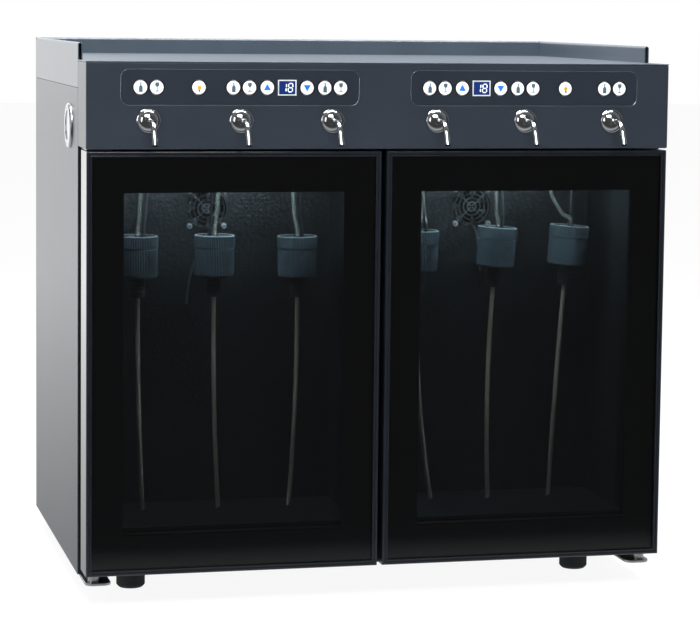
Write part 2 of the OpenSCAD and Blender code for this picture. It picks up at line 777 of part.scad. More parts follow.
module dip_tubes() {
    top = -cap_h - plug_flange - stopper_l;
    color("ivory") placed() for (i = [0:5]) {
        length = CAP_TOP[i] + top - chamber_z0 - dip_end;
        translate([CAP_X[i], cap_y, CAP_TOP[i]]) rotate([0, CAP_TILT[i], 0]) translate([0, 0, top])
            difference() {
                curled(dip_d, length, DIP_TURN[i]);
                curled(dip_d - 2, length, DIP_TURN[i]);
            }
    }
}

function wine_route(i) = concat(
    [for (d = [0, hose_d]) [port_x(i), cap_y, chamber_z1 - gland_flange_t - d]],
    [for (b = WINE_BENDS[i]) [port_x(i) + b[0], cap_y + b[1], b[2]]],
    [on_cap(i, [0, 0, nipple_h + 6]), on_cap(i, [0, 0, nipple_h])]);

function gas_route(i) = concat(
    [for (d = [0, hose_d]) [port_x(i) + GAS_DX[i], cap_y + gas_back, chamber_z1 - gland_flange_t - d]],
    [for (b = GAS_BENDS[i]) [port_x(i) + GAS_DX[i] + b[0], cap_y + gas_back + b[1], b[2]]],
    [on_cap(i, [GAS_ON_CAP[i][0], GAS_ON_CAP[i][1], nipple_h + 6]),
        on_cap(i, [GAS_ON_CAP[i][0], GAS_ON_CAP[i][1], nipple_h])]);

module hoses() {
    color("gainsboro") placed() for (i = [0:5]) {
        swept(wine_route(i), hose_d);
        swept(gas_route(i), hose_d - 1);
    }
}

module probe_leads() {
    color("silver") placed() for (k = [0, 1]) {
        route = [for (p = LEAD_ROUTES[k]) [SIDES[k] * chamber_x + p[0], chamber_y1 - p[1], p[2]]];
        swept(route, lead_d);
        tip = route[len(route) - 1];
        rod_z(probe_d, tip[0], tip[1], [tip[2] - probe_l, tip[2]]);
    }
}

/* Cooling and services */

module ring_y(r, t, y) {
    difference() {
        rod_y(2 * r + t, 0, y, 0);
        rod_y(2 * r - t, 0, [y[0] - cut, y[1] + cut], 0);
    }
}

// Flat wire guard: rings on a cross, with an eye at each screw
module guard(radii, pitch, y) {
    difference() {
        union() {
            for (r = radii) ring_y(r, wire_t, [y, y + wire_t]);
            for (a = [45, 135]) rotate([0, a, 0])
                block([-pitch / sqrt(2), pitch / sqrt(2)], [y, y + wire_t], [-wire_t / 2, wire_t / 2]);
            for (x = SIDES, z = SIDES) rod_y(8, x * pitch / 2, [y, y + wire_t], z * pitch / 2);
        }
        for (x = SIDES, z = SIDES)
            rod_y(screw_d + 0.4, x * pitch / 2, [y - cut, y + wire_t + cut], z * pitch / 2);
    }
}

module fan_guards() {
    color("silver") placed() {
        for (s = SIDES) translate([s * chamber_x, 0, fan_z])
            guard([for (k = [1:4]) k * fan_bore / 9], fan_pitch, chamber_y1 - wire_t);
        translate([0, 0, exhaust_z])
            guard([for (k = [1:5]) k * exhaust_bore / 10.4], exhaust_pitch, rear_y);
    }
}

// Square housing with a round duct, three struts and a bush for the shaft, front at y = 0
module fan_housing(size, t, bore, pitch) {
    difference() {
        union() {
            difference() {
                block([-size / 2, size / 2], [0, t], [-size / 2, size / 2]);
                rod_y(bore, 0, [-cut, t + cut], 0);
            }
            rod_y(bore * hub_share, 0, [t - strut_t, t], 0);
            for (a = [30, 150, 270]) rotate([0, a, 0])
                block([bore * hub_share / 2 - strut_t / 2, bore / 2 + 1], [t - strut_t, t],
                    [-strut_t / 2, strut_t / 2]);
        }
        rod_y(shaft_d + 2 * running_gap, 0, [t - strut_t - cut, t + cut], 0);
        for (x = SIDES, z = SIDES) rod_y(screw_d + 0.4, x * pitch / 2, [-cut, t + cut], z * pitch / 2);
    }
}

module fan_housings() {
    color("#1b1d20") placed() {
        for (s = SIDES) translate([s * chamber_x, liner_y1, fan_z])
            fan_housing(fan_size, fan_t, fan_bore, fan_pitch);
        translate([0, depth, exhaust_z]) mirror([0, 1, 0])
            fan_housing(exhaust_size, exhaust_t, exhaust_bore, exhaust_pitch);
    }
}

// Hub, blades and shaft, front at y = 0
module fan_rotor(t, bore, blades) {
    hub = bore * hub_share;
    rod_y(hub, 0, [1.5, t - strut_t - 0.5], 0);
    for (k = [1:blades]) rotate([0, 360 * k / blades, 0]) translate([hub / 2 - 1, t / 2 - 1, 0])
        rotate([35, 0, 0]) block([0, (bore - hub) / 2 - 0.5], [-0.6, 0.6],
            [-(t - 6) / 2 * 1.1, (t - 6) / 2 * 1.1]);
    rod_y(shaft_d, 0, [t - strut_t - 1, t - 0.5], 0);
}

module circulation_rotor(s) {
    color("#24272b") placed() translate([s * chamber_x, liner_y1, fan_z]) fan_rotor(fan_t, fan_bore, 7);
}

module exhaust_rotor() {
    color("#24272b") placed() translate([0, depth, exhaust_z]) mirror([0, 1, 0])
        fan_rotor(exhaust_t, exhaust_bore, 7);
}

module sink_studs(d) {
    for (s = SIDES, x = SIDES, z = SIDES)
        rod_y(d, s * chamber_x + x * (fan_pocket / 2 + 8), [liner_y1, liner_y1 + fan_t + 34],
            fan_z + z * (fan_pocket / 2 + 8));
}

module cooling_units() {
    cold_y = liner_y1 + fan_t + sheet_gap;
    base_y = cold_y + 10;
    plate_y = base_y + fin_base;
    hot_y = plate_y + peltier_t;
    color("lightsteelblue") placed() for (s = SIDES) translate([s * chamber_x, 0, fan_z]) {
        for (k = [-4:4]) block([k * 6 - 0.6, k * 6 + 0.6], [cold_y, base_y], [-fan_size / 2, fan_size / 2]);
        block([-fan_size / 2, fan_size / 2], [base_y, plate_y], [-fan_size / 2, fan_size / 2]);
        block([-20, 20], [plate_y, hot_y], [-20, 20]);
        block([-sink_size / 2, sink_size / 2], [hot_y, hot_y + sink_base], [-sink_size / 2, sink_size / 2]);
        for (k = [-9:9])
            block([k * 6.4 - 0.8, k * 6.4 + 0.8], [hot_y + sink_base, hot_y + sink_base + sink_fin],
                [-sink_size / 2, sink_size / 2]);
        for (x = SIDES, z = SIDES)
            rod_y(5, x * (fan_pocket / 2 + 8), [liner_y1, hot_y], z * (fan_pocket / 2 + 8));
    }
}

// Pipe from y[1] forward to its bend and down at y[0]
module drop_pipe(d, x, y, z, down) {
    r = d + 2;
    rod_y(d, x, [y[0] + r, y[1]], z);
    translate([x, y[0] + r, z - r]) rotate([180, -90, 0]) rotate_extrude(angle = 90)
        translate([r, 0]) circle(d = d);
    rod_z(d, x, y[0], [down, z - r]);
}

module valve_block() {
    color("darkgray") placed() {
        for (i = [0:5]) {
            block([spout_x(i) - 18, spout_x(i) + 18], [valve_y0, valve_y1], [bar_z, spout_z + 15]);
            rod_z(26, spout_x(i), (valve_y0 + valve_y1) / 2, [spout_z + 15, spout_z + 48]);
            mirror([0, 1, 0])
                drop_pipe(spout_d, port_x(i), [-cap_y, -valve_y1], spout_z, gland_top);
        }
        block([gas_pipe_x - 12, -gas_pipe_x + 12], [gas_bar_y0, gas_bar_y0 + 20], [bar_z, bar_z + gas_bar_h]);
        for (i = [0:5]) {
            rod_z(20, port_x(i) + GAS_DX[i], gas_bar_y0 + 10, [bar_z + gas_bar_h, bar_z + gas_bar_h + 32]);
            drop_pipe(spout_d - 1, port_x(i) + GAS_DX[i], [cap_y + gas_back, gas_bar_y0], gas_pipe_z,
                gland_top);
        }
        mirror([0, 1, 0]) drop_pipe(spout_d, gas_pipe_x, [-gas_pipe_y, -gas_bar_y0 - 20], gas_pipe_z,
            inlet_z + regulator_h / 2);
    }
}

module power_supply() {
    color("silver") placed() {
        block([60, 260], [depth - 157, depth - 57], [floor_z + sheet_t, floor_z + sheet_t + 40]);
        block([45, 60], [depth - 147, depth - 67], [floor_z + sheet_t, floor_z + sheet_t + 18]);
    }
}

module rear_connectors() {
    color("#34383d") placed() {
        block([gas_pipe_x - 15, gas_pipe_x + 15], [depth - 47, depth - 17],
            [inlet_z - regulator_h / 2, inlet_z + regulator_h / 2]);
        difference() {
            rod_y(14, gas_pipe_x, [depth - 17, rear_y + guard_proud], inlet_z);
            rod_y(gas_bore_d, gas_pipe_x,
                [rear_y + guard_proud - gas_bore_l, rear_y + guard_proud + cut], inlet_z);
        }
        difference() {
            union() {
                block([mains_x - 13.7, mains_x + 13.7], [depth - 18, rear_y + 2],
                    [inlet_z - 9.7, inlet_z + 9.7]);
                block([mains_x - 24, mains_x + 24], [rear_y, rear_y + 2], [inlet_z - 14, inlet_z + 14]);
            }
            block([mains_x - 12, mains_x + 12], [depth - 12, rear_y + 2 + cut], [inlet_z - 8, inlet_z + 8]);
        }
        for (x = PLACES) block([mains_x + x * 7 - 1, mains_x + x * 7 + 1], [depth - 12, rear_y - 2],
            [inlet_z - 2, inlet_z + 2]);
    }
}

// Screws of the port cover, counted from its face
module cover_screws(d, x) {
    for (z = SIDES)
        translate([-half_w - cover_t + x[0], cover_y, cover_z + z * (cover_d / 2 - 5.5)])
            rotate([0, 90, 0]) cylinder(d = d, h = x[1] - x[0]);
}

module port_cover() {
    color("silver") placed() difference() {
        translate([-half_w - cover_t, cover_y, cover_z]) rotate([0, 90, 0]) cylinder(d = cover_d, h = cover_t);
        translate([-half_w - cover_t - cut, cover_y, cover_z]) rotate([0, 90, 0])
            cylinder(d = cover_d - 16, h = cut + 1.2);
        cover_screws(screw_d + 0.4, [-cut, cover_t + cut]);
    }
}

module exhaust_screws(d, l) {
    for (x = SIDES, z = SIDES)
        rod_y(d, x * exhaust_pitch / 2, [rear_y - l, rear_y + wire_t], exhaust_z + z * exhaust_pitch / 2);
}

module screws() {
    head = screw_d * 2;
    color("silver") placed() {
        fan_screws(screw_d, fan_t);
        for (s = SIDES, x = SIDES, z = SIDES)
            rod_y(head, s * chamber_x + x * fan_pitch / 2, [chamber_y1 - wire_t - 2, chamber_y1 - wire_t],
                fan_z + z * fan_pitch / 2);
        exhaust_screws(screw_d, exhaust_t);
        for (x = SIDES, z = SIDES)
            rod_y(head, x * exhaust_pitch / 2, [rear_y + wire_t, rear_y + wire_t + 2],
                exhaust_z + z * exhaust_pitch / 2);
        rear_screws(screw_d);
        for (x = SIDES, k = [0:4])
            rod_y(head, x * (half_w - 7), [rear_y, rear_y + 2], foot_h + 30 + k * 115);
        bracket_screws(screw_d, [foot_h - bracket_t, floor_z + sheet_t]);
        bracket_screws(head, [foot_h - bracket_t - 2, foot_h - bracket_t]);
        upper_bracket_screws(screw_d, [fascia_z0 - upper_bracket_t, fascia_z0 + fascia_t]);
        upper_bracket_screws(head, [fascia_z0 + fascia_t, fascia_z0 + fascia_t + 2]);
        cover_screws(screw_d, [0, cover_t + sheet_t]);
    }
}

base_pan();
side_panels();
rear_panel();
top_cover();
front_frame();
fascia();
control_panels();
control_boards();
pour_spouts();
chamber_liner(LEFT);  // left_chamber_liner
chamber_liner(RIGHT);  // right_chamber_liner
insulation();
hinge_brackets();
port_cover();
fan_guards();
fan_housings();
cooling_units();
valve_block();
power_supply();
rear_connectors();
light_strips();
hose_glands();
bottle_caps();
dip_tubes();
hoses();
probe_leads();
screws();
door_frame(LEFT);  // left_door_frame
door_glass(LEFT);  // left_door_glass
door_inner_frame(LEFT);  // left_door_inner_frame
door_gasket(LEFT);  // left_door_gasket
door_frame(RIGHT);  // right_door_frame
door_glass(RIGHT);  // right_door_glass
door_inner_frame(RIGHT);  // right_door_inner_frame
door_gasket(RIGHT);  // right_door_gasket
push_button(LEFT, 0);  // left_bottle_button_1
push_button(LEFT, 1);  // left_glass_button_1
push_button(LEFT, 2);  // left_bottle_button_2
push_button(LEFT, 3);  // left_glass_button_2
push_button(LEFT, 4);  // left_bottle_button_3
push_button(LEFT, 5);  // left_glass_button_3
push_button(LEFT, 6);  // left_up_button
push_button(LEFT, 7);  // left_down_button
push_button(LEFT, 8);  // left_light_button
push_button(RIGHT, 0);  // right_bottle_button_1
push_button(RIGHT, 1);  // right_glass_button_1
push_button(RIGHT, 2);  // right_bottle_button_2
push_button(RIGHT, 3);  // right_glass_button_2
push_button(RIGHT, 4);  // right_bottle_button_3
push_button(RIGHT, 5);  // right_glass_button_3
push_button(RIGHT, 6);  // right_up_button
push_button(RIGHT, 7);  // right_down_button
push_button(RIGHT, 8);  // right_light_button
circulation_rotor(LEFT);  // left_fan_rotor
circulation_rotor(RIGHT);  // right_fan_rotor
exhaust_rotor();  // exhaust_fan_rotor
foot(LEFT, foot_front_y);  // front_left_foot
foot(RIGHT, foot_front_y);  // front_right_foot
foot(LEFT, depth - foot_rear_in);  // rear_left_foot
foot(RIGHT, depth - foot_rear_in);  // rear_right_foot
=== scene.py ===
"""Looks of a countertop wine preservation dispenser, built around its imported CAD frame.

Sizes are design millimetres, as in the part's source: X from the middle, Y back from the
front plane of the doors and the head, Z up from the surface that the feet stand on.
"""

import logging
import math
from dataclasses import dataclass, field
from enum import Enum
from typing import Callable, Sequence

import bmesh
import bpy
from mathutils import Matrix, Vector


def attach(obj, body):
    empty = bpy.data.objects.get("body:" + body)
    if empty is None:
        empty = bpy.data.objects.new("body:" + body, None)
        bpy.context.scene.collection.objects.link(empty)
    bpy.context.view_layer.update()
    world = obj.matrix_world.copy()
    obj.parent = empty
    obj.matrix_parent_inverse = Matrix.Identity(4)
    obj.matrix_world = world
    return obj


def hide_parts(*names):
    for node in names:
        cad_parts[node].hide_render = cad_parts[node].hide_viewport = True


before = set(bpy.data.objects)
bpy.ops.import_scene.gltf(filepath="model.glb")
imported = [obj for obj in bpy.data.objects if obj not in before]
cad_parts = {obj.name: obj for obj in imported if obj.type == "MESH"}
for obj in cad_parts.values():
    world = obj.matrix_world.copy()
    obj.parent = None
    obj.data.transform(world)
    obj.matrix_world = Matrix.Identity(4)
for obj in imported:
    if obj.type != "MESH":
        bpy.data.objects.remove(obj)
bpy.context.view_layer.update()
LOG = logging.getLogger("dispenser")
Point = tuple[float, float, float]
Pair = tuple[float, float]

SHIFT_X = 1.5
SHIFT_Y = -208.2191
LEFT = -1
RIGHT = 1
SIDES = (LEFT, RIGHT)
NAMED_SIDES = ((LEFT, "left"), (RIGHT, "right"))
RIB_POINTS = 4
PHOTO_WIDTH = 700
TONE_STOPS = (0.3, 0.7)
COAT_ROUGHNESS = 0.08
FLAT_DEG = 0.4
CORNER_DEG = 40
SMOOTH_DEG = 34


def part_point(p: Sequence[float]) -> Vector:
    """Turns a point in design millimetres into one in metres in the part's frame.

    Args:
        p: X, Y and Z in design millimetres.

    Returns:
        The point in metres.
    """
    return Vector(((p[0] + SHIFT_X) / 1000, (p[1] + SHIFT_Y) / 1000, p[2] / 1000))


def station(i: int, chamber_x: float, pitch: float) -> float:
    """Finds where one of the six places stands.

    Args:
        i: Number of the place, from the left.
        chamber_x: Distance of a chamber's middle from the object's.
        pitch: Distance between places in one chamber.

    Returns:
        X of the place.
    """
    return (chamber_x if i > 2 else -chamber_x) + (i % 3 - 1) * pitch


def linear(code: str) -> tuple[float, float, float, float]:
    """Turns an sRGB hex colour into Blender's linear one.

    Args:
        code: Six hex digits.

    Returns:
        Linear red, green, blue and full alpha.
    """
    parts = [int(code[i:i + 2], 16) / 255 for i in (0, 2, 4)]
    red, green, blue = (
        c / 12.92 if c <= 0.04045 else ((c + 0.055) / 1.055) ** 2.4 for c in parts)
    return red, green, blue, 1.0


def placed(name: str, data: bpy.types.ID) -> bpy.types.Object:
    """Makes an object from its data and puts it in the scene.

    Args:
        name: Name of the object.
        data: Its mesh, curve, light or camera.

    Returns:
        The object.
    """
    made = bpy.data.objects.new(name, data)
    bpy.context.scene.collection.objects.link(made)
    return made


def blank(name: str) -> tuple[bpy.types.Material, bpy.types.NodeTree]:
    """Makes a material without nodes.

    Args:
        name: Name of the material.

    Returns:
        The material and its node tree.
    """
    made = bpy.data.materials.new(name)
    made.use_nodes = True
    made.node_tree.nodes.clear()
    return made, made.node_tree


def shade(bm: bmesh.types.BMesh, sharp: float) -> None:
    """Shades a mesh smooth, but for its sharp edges.

    Args:
        bm: The mesh.
        sharp: Angle in degrees above which an edge stays sharp.
    """
    for f in bm.faces:
        f.smooth = True
    for e in bm.edges:
        e.smooth = len(e.link_faces) == 2 and e.calc_face_angle(0.0) < math.radians(sharp)


def rounded(bm: bmesh.types.BMesh, edges: list[bmesh.types.BMEdge], radius: float,
            segments: int) -> None:
    """Rounds edges of a mesh.

    Args:
        bm: The mesh.
        edges: Its edges to round.
        radius: Radius of the rounding.
        segments: Facets across it.
    """
    bmesh.ops.bevel(bm, geom=edges, offset=radius, segments=segments, profile=0.5, affect="EDGES",
                    clamp_overlap=False)


def circle(count: int) -> list[float]:
    """Angles of as many points spread evenly round a circle."""
    return [2 * math.pi * k / count for k in range(count)]


def ribs(flank: float, groove: float) -> Callable[[int], float]:
    """Makes the wave of moulded ribs.

    Args:
        flank: Depth halfway down a rib.
        groove: Depth between two ribs.

    Returns:
        A function that gives what a point of the ring adds to its radius.
    """
    depths = (0.0, -flank, -groove, -flank)
    return lambda k: depths[k % RIB_POINTS]


def add(tree: bpy.types.NodeTree, kind: str, links: dict | None = None,
        **settings: object) -> bpy.types.Node:
    """Adds a node with its settings and the links into it.

    Args:
        tree: Node tree that takes the node.
        kind: Node type without the ShaderNode prefix.
        links: Output sockets to join to named or numbered inputs.
        **settings: Properties of the node, or values of inputs written with underscores.

    Returns:
        The new node.
    """
    node = tree.nodes.new("ShaderNode" + kind)
    for key, value in settings.items():
        if hasattr(node, key):
            setattr(node, key, value)
        else:
            node.inputs[key.replace("_", " ")].default_value = value
    for key, socket in (links or {}).items():
        tree.links.new(socket, node.inputs[key])
    return node


class Grain(Enum):
    """Ways in which a surface is broken up."""

    PEEL = "orange peel of a sprayed or moulded skin"
    STUCCO = "embossed pebbles"
    BRUSHED = "long fine scratches"
    FIBRE = "short cloudy fibres"


@dataclass(frozen=True)
class Finish:
    """Opaque or cloudy finish: two tones, two gloss levels and a relief of real size."""

    name: str
    tone: str
    tone_b: str
    roughness: float
    spread: float = 0.08
    metallic: float = 0.0
    grain: Grain = Grain.PEEL
    grain_mm: float = 1.5
    relief_mm: float = 0.02
    cloud_mm: float = 60.0
    along: Point = (1.0, 1.0, 1.0)
    coat: float = 0.0
    clear: float = 0.0
    glow: float = 0.0
    specular: float = 0.5

    def relief(self, tree: bpy.types.NodeTree, where: bpy.types.NodeSocket) -> bpy.types.NodeSocket:
        """Adds the grain's height pattern.

        Args:
            tree: Node tree of the material.
            where: Coordinates in metres.

        Returns:
            The socket that gives the height.
        """
        scale = 1000 / self.grain_mm
        if self.grain is Grain.STUCCO:
            cells = add(tree, "TexVoronoi", {"Vector": where}, feature="SMOOTH_F1", Scale=scale,
                        Smoothness=0.7)
            return cells.outputs["Distance"]
        detail = {Grain.PEEL: 2.0, Grain.BRUSHED: 3.0, Grain.FIBRE: 4.0}[self.grain]
        stretched = add(tree, "Mapping", {"Vector": where}, Scale=self.along)
        return add(tree, "TexNoise", {"Vector": stretched.outputs["Vector"]}, Scale=scale,
                   Detail=detail).outputs["Fac"]

    def material(self) -> bpy.types.Material:
        """Makes the Blender material once, and gives the same one after that.

        Returns:
            The material.
        """
        if self.name in bpy.data.materials:
            return bpy.data.materials[self.name]
        made, tree = blank(self.name)
        where = add(tree, "TexCoord").outputs["Object"]
        cloud = add(tree, "TexNoise", {"Vector": where}, Scale=1000 / self.cloud_mm, Detail=3.0)
        tones = add(tree, "ValToRGB", {"Fac": cloud.outputs["Fac"]})
        for stop, position, tone in zip(tones.color_ramp.elements, TONE_STOPS, (self.tone, self.tone_b)):
            stop.position, stop.color = position, linear(tone)
        height = self.relief(tree, where)
        gloss = add(tree, "MapRange", {"Value": height}, To_Min=self.roughness - self.spread / 2,
                    To_Max=self.roughness + self.spread / 2)
        bump = add(tree, "Bump", {"Height": height}, Strength=1.0, Distance=self.relief_mm / 1000)
        shader = add(tree, "BsdfPrincipled", {
            "Base Color": tones.outputs["Color"], "Roughness": gloss.outputs["Result"],
            "Normal": bump.outputs["Normal"]}, Metallic=self.metallic, Coat_Weight=self.coat,
            Coat_Roughness=COAT_ROUGHNESS, Transmission_Weight=self.clear,
            Specular_IOR_Level=self.specular)
        if self.glow:
            shader.inputs["Emission Color"].default_value = linear(self.tone_b)
            shader.inputs["Emission Strength"].default_value = self.glow
        add(tree, "OutputMaterial", {"Surface": shader.outputs["BSDF"]})
        return made


@dataclass(frozen=True)
class ClearPane:
    """Clear float glass, whose faint smears are in its gloss."""

    name: str
    tint: str
    roughness: float = 0.012

    def material(self) -> bpy.types.Material:
        """Makes the Blender material once, and gives the same one after that.

        Returns:
            The material.
        """
        if self.name in bpy.data.materials:
            return bpy.data.materials[self.name]
        made, tree = blank(self.name)
        where = add(tree, "TexCoord").outputs["Object"]
        smears = add(tree, "TexNoise", {"Vector": where}, Scale=14.0, Detail=2.0)
        gloss = add(tree, "MapRange", {"Value": smears.outputs["Fac"]}, To_Min=self.roughness / 2,
                    To_Max=self.roughness * 1.5)
        shader = add(tree, "BsdfPrincipled", {"Roughness": gloss.outputs["Result"]}, IOR=1.5,
                     Base_Color=linear(self.tint), Transmission_Weight=1.0)
        add(tree, "OutputMaterial", {"Surface": shader.outputs["BSDF"]})
        return made


# Powder coat on sheet steel: a satin near-black with a blue cast that turns silvery at a glance
POWDER = Finish("powder_coated_steel", "303842", "343c47", 0.33, 0.07, grain_mm=1.4, relief_mm=0.012)
# The same coat on the top cover with a lighter tone, painted light for the light that falls on the top,
# and a little smoother from wiping
POWDER_TOP_LIT = Finish("powder_coated_deck", "49525d", "4e5863", 0.3, 0.06, grain_mm=1.4, relief_mm=0.008)
# Powder coat on the doors' folded frames, slightly darker
POWDER_DOOR = Finish("powder_coated_door_frame", "1b1f26", "20252d", 0.24, 0.06, grain_mm=1.4,
                     relief_mm=0.01, coat=0.4)
# Moulded ABS of the inset panels: darker and smoother than the head around it
PANEL_ABS = Finish("moulded_abs_panel", "28303b", "2c3440", 0.36, 0.06, grain_mm=1.2, relief_mm=0.01)
# Pale metal on the bead along the inset panel's edge: a painted highlight that shows as a thin line of
# light
PANEL_EDGE_HIGHLIGHT = Finish("polished_panel_edge", "9fa4b0", "aeb3be", 0.26, 0.04, 0.9, grain_mm=2.0,
                   relief_mm=0.002)
# Black ABS of frames and housings, finely spark-eroded
BLACK_ABS = Finish("spark_eroded_black_abs", "0f1012", "141618", 0.42, 0.1, grain_mm=1.0, relief_mm=0.02)
# Chrome plating on brass: mirror bright with faint polishing waves
CHROME = Finish("chrome_plated_brass", "c9cccf", "d8dbde", 0.12, 0.03, 1.0, Grain.PEEL, 3.0, 0.004)
# Bright zinc on pressed steel: soft grey metal with a dull grain
ZINC = Finish("bright_zinc_plate", "b4b8bb", "c8cbcd", 0.3, 0.12, 1.0, Grain.FIBRE, 2.0, 0.01)
# Zinc on small pan-head screws: pale, half dull, so a dome catches light from all around
SCREW = Finish("zinc_plated_screw", "d3d7d8", "e4e7e8", 0.36, 0.08, 0.45, Grain.FIBRE, 1.5, 0.01)
# Nickel on drawn wire: a smooth grey line with a narrow highlight
WIRE = Finish("nickel_plated_wire", "7f8586", "959b9c", 0.3, 0.06, 1.0, Grain.PEEL, 2.0, 0.004)
# Brushed aluminium of the port cover: pale metal with fine scratches that spread the light
BRUSHED = Finish("brushed_aluminium", "b9bdc0", "cfd2d4", 0.3, 0.14, 1.0, Grain.BRUSHED, 1.2, 0.01,
                 along=(1.0, 1.0, 22.0))
# Mill aluminium of the glazing spacer: warm grey, drawn along its length
SPACER = Finish("mill_aluminium_spacer", "b8a6ac", "cdbfc4", 0.35, 0.1, 0.8, Grain.BRUSHED, 1.2, 0.01,
                along=(22.0, 1.0, 22.0))
# Stucco-embossed coated aluminium: dark pebbles about 3 mm across that catch small glints
STUCCO = Finish("stucco_embossed_liner", "1d2124", "23282b", 0.36, 0.12, 0.3, Grain.STUCCO, 3.2, 0.5)
# Ceramic ink fired on the inside of the outer pane: deep even black behind gloss
ENAMEL = Finish("fired_black_enamel", "07080a", "0a0b0e", 0.3, 0.04, grain_mm=2.0, relief_mm=0.002)
# Float glass with a grey-green tint that dims what stands behind it
GLASS = ClearPane("tinted_float_glass", "c4cace")
# Soft extruded PVC of the gasket: dull black folds
GASKET = Finish("soft_pvc_gasket", "16171a", "1c1e21", 0.6, 0.1, grain_mm=1.0, relief_mm=0.03)
# Glass-filled nylon of the bottle caps: slate, dull, paler where light rakes the ribs
CAP = Finish("glass_filled_nylon_cap", "333f44", "414e54", 0.4, 0.12, grain_mm=1.2, relief_mm=0.02,
             cloud_mm=20.0)
# The same nylon painted pale along the cap's rim: a painted highlight where the light strips above catch
# the rim
CAP_RIM_HIGHLIGHT = Finish("worn_nylon_rim", "c9dcdc", "dae8e8", 0.4, 0.1, grain_mm=1.2, relief_mm=0.02,
                 cloud_mm=12.0)
# Extruded polyurethane of the wine hoses: silvery, with a long highlight
WINE_HOSE = Finish("silvery_polyurethane_hose", "a3aaa2", "bcc2b8", 0.26, 0.08, 0.8, Grain.BRUSHED, 1.5,
                   0.01, along=(1.0, 1.0, 0.1))
# The same in black for the gas hoses
GAS_HOSE = Finish("black_polyurethane_hose", "1d2327", "272e33", 0.3, 0.08, 0.0, Grain.BRUSHED, 1.5,
                  0.01, along=(1.0, 1.0, 0.1))
# Tinned braid of the probe leads: thin and dim, with a broken glint
LEAD = Finish("tinned_braid_lead", "5d6466", "787f81", 0.34, 0.1, 0.7, Grain.FIBRE, 1.0, 0.02)
# Extruded natural polyethylene of the dip tubes: milky and a little yellow
DIP_TUBE = Finish("natural_polyethylene", "b9b29a", "cfc9b4", 0.4, 0.1, grain_mm=2.0, relief_mm=0.01,
                  clear=0.25)
# Moulded gloss ABS of the buttons: clean white that shows the ink, with a faint painted glow that keeps
# the white bright
BUTTON = Finish("gloss_white_abs", "f2f4f5", "fbfcfd", 0.22, 0.04, grain_mm=2.5, relief_mm=0.003,
                glow=0.3)
# Pad-printed inks of the signs: flat, thin and a little duller than the button
SLATE_INK = Finish("slate_pad_print", "47687c", "547489", 0.45, 0.06, grain_mm=0.8, relief_mm=0.002)
PALE_INK = Finish("pale_pad_print", "7d95a1", "8fa5b0", 0.45, 0.06, grain_mm=0.8, relief_mm=0.002)
BLUE_INK = Finish("blue_pad_print", "1273f2", "2b8bff", 0.4, 0.06, grain_mm=0.8, relief_mm=0.002)
AMBER_INK = Finish("amber_pad_print", "f5a81c", "ffbd3a", 0.4, 0.06, grain_mm=0.8, relief_mm=0.002)
NAVY_INK = Finish("navy_pad_print", "1b3f8f", "244ca3", 0.4, 0.06, grain_mm=0.8, relief_mm=0.002)
# Near-black rings round the buttons: painted shade of the gap round each button, so each button has a
# dark outline; the same painted shade sits on each button's rounded edge and in the screws' hex recesses
GAP_SHADE = Finish("black_button_bezel", "04060c", "080b12", 0.55, 0.05, grain_mm=1.2, relief_mm=0.01)
# Moulded surround of the display: white and clean-edged
SURROUND = Finish("white_display_surround", "eef1f7", "f8faff", 0.35, 0.05, grain_mm=1.2, relief_mm=0.01)
# Cast acrylic filter: deep blue behind gloss
FILTER = Finish("blue_display_filter", "16306e", "1c3a80", 0.12, 0.03, grain_mm=3.0, relief_mm=0.002,
                coat=0.5)
# Lit segments: pale blue bars that glow evenly
SEGMENT = Finish("lit_display_segment", "cfe0ff", "e6efff", 0.4, 0.05, grain_mm=1.0, relief_mm=0.002,
                 glow=0.85)
# Opal acrylic of the lit light strips: cool light from above the caps
DIFFUSER = Finish("lit_opal_acrylic", "d4dee0", "e8f4f6", 0.35, 0.08, grain_mm=2.0, relief_mm=0.01,
                  glow=110.0)
# Moulded nitrile rubber of the feet and stoppers: dull near-black
RUBBER = Finish("ribbed_nitrile_rubber", "282e31", "2f3539", 0.55, 0.12, grain_mm=0.8, relief_mm=0.03)
# Foamed polyurethane: matt straw colour with open pores
FOAM = Finish("rigid_polyurethane_foam", "cdbf8f", "dccf9f", 0.85, 0.1, grain=Grain.FIBRE, grain_mm=3.0,
              relief_mm=0.3)
# Solder mask on board: green lacquer with faint tracks
BOARD = Finish("solder_masked_board", "0d3a22", "13502f", 0.35, 0.1, grain=Grain.BRUSHED, grain_mm=2.0,
               relief_mm=0.02, along=(1.0, 1.0, 10.0))
# Extruded aluminium: grey metal with die lines
EXTRUDED = Finish("extruded_aluminium", "a9adb1", "bfc3c6", 0.36, 0.12, 1.0, Grain.BRUSHED, 1.5, 0.02,
                  along=(12.0, 12.0, 1.0))
# Machined stainless steel: darker grey with tool marks
STAINLESS = Finish("machined_stainless", "9c9fa1", "b4b7b8", 0.28, 0.1, 1.0, Grain.BRUSHED, 1.0, 0.01,
                   along=(1.0, 14.0, 14.0))
# Moulded PBT of the fans: flat black that sets off the guard
FAN_PBT = Finish("moulded_pbt_fan", "0c0d0f", "101214", 0.6, 0.08, grain_mm=1.5, relief_mm=0.01,
                 specular=0.25)
# Nickel-plated brass of the fittings: warm bright metal
BRASS = Finish("nickel_plated_brass", "a8a49a", "c0bcb2", 0.25, 0.08, 1.0, Grain.PEEL, 2.0, 0.005)


def finished(name: str, bm: bmesh.types.BMesh, *finishes: Finish | ClearPane) -> bpy.types.Object:
    """Turns a drawn mesh into an object with its finishes.

    Args:
        name: Name of the object.
        bm: The mesh, which is freed.
        *finishes: Its finishes.

    Returns:
        The object.
    """
    mesh = bpy.data.meshes.new(name)
    bm.to_mesh(mesh)
    bm.free()
    for finish in finishes:
        mesh.materials.append(finish.material())
    return placed(name, mesh)


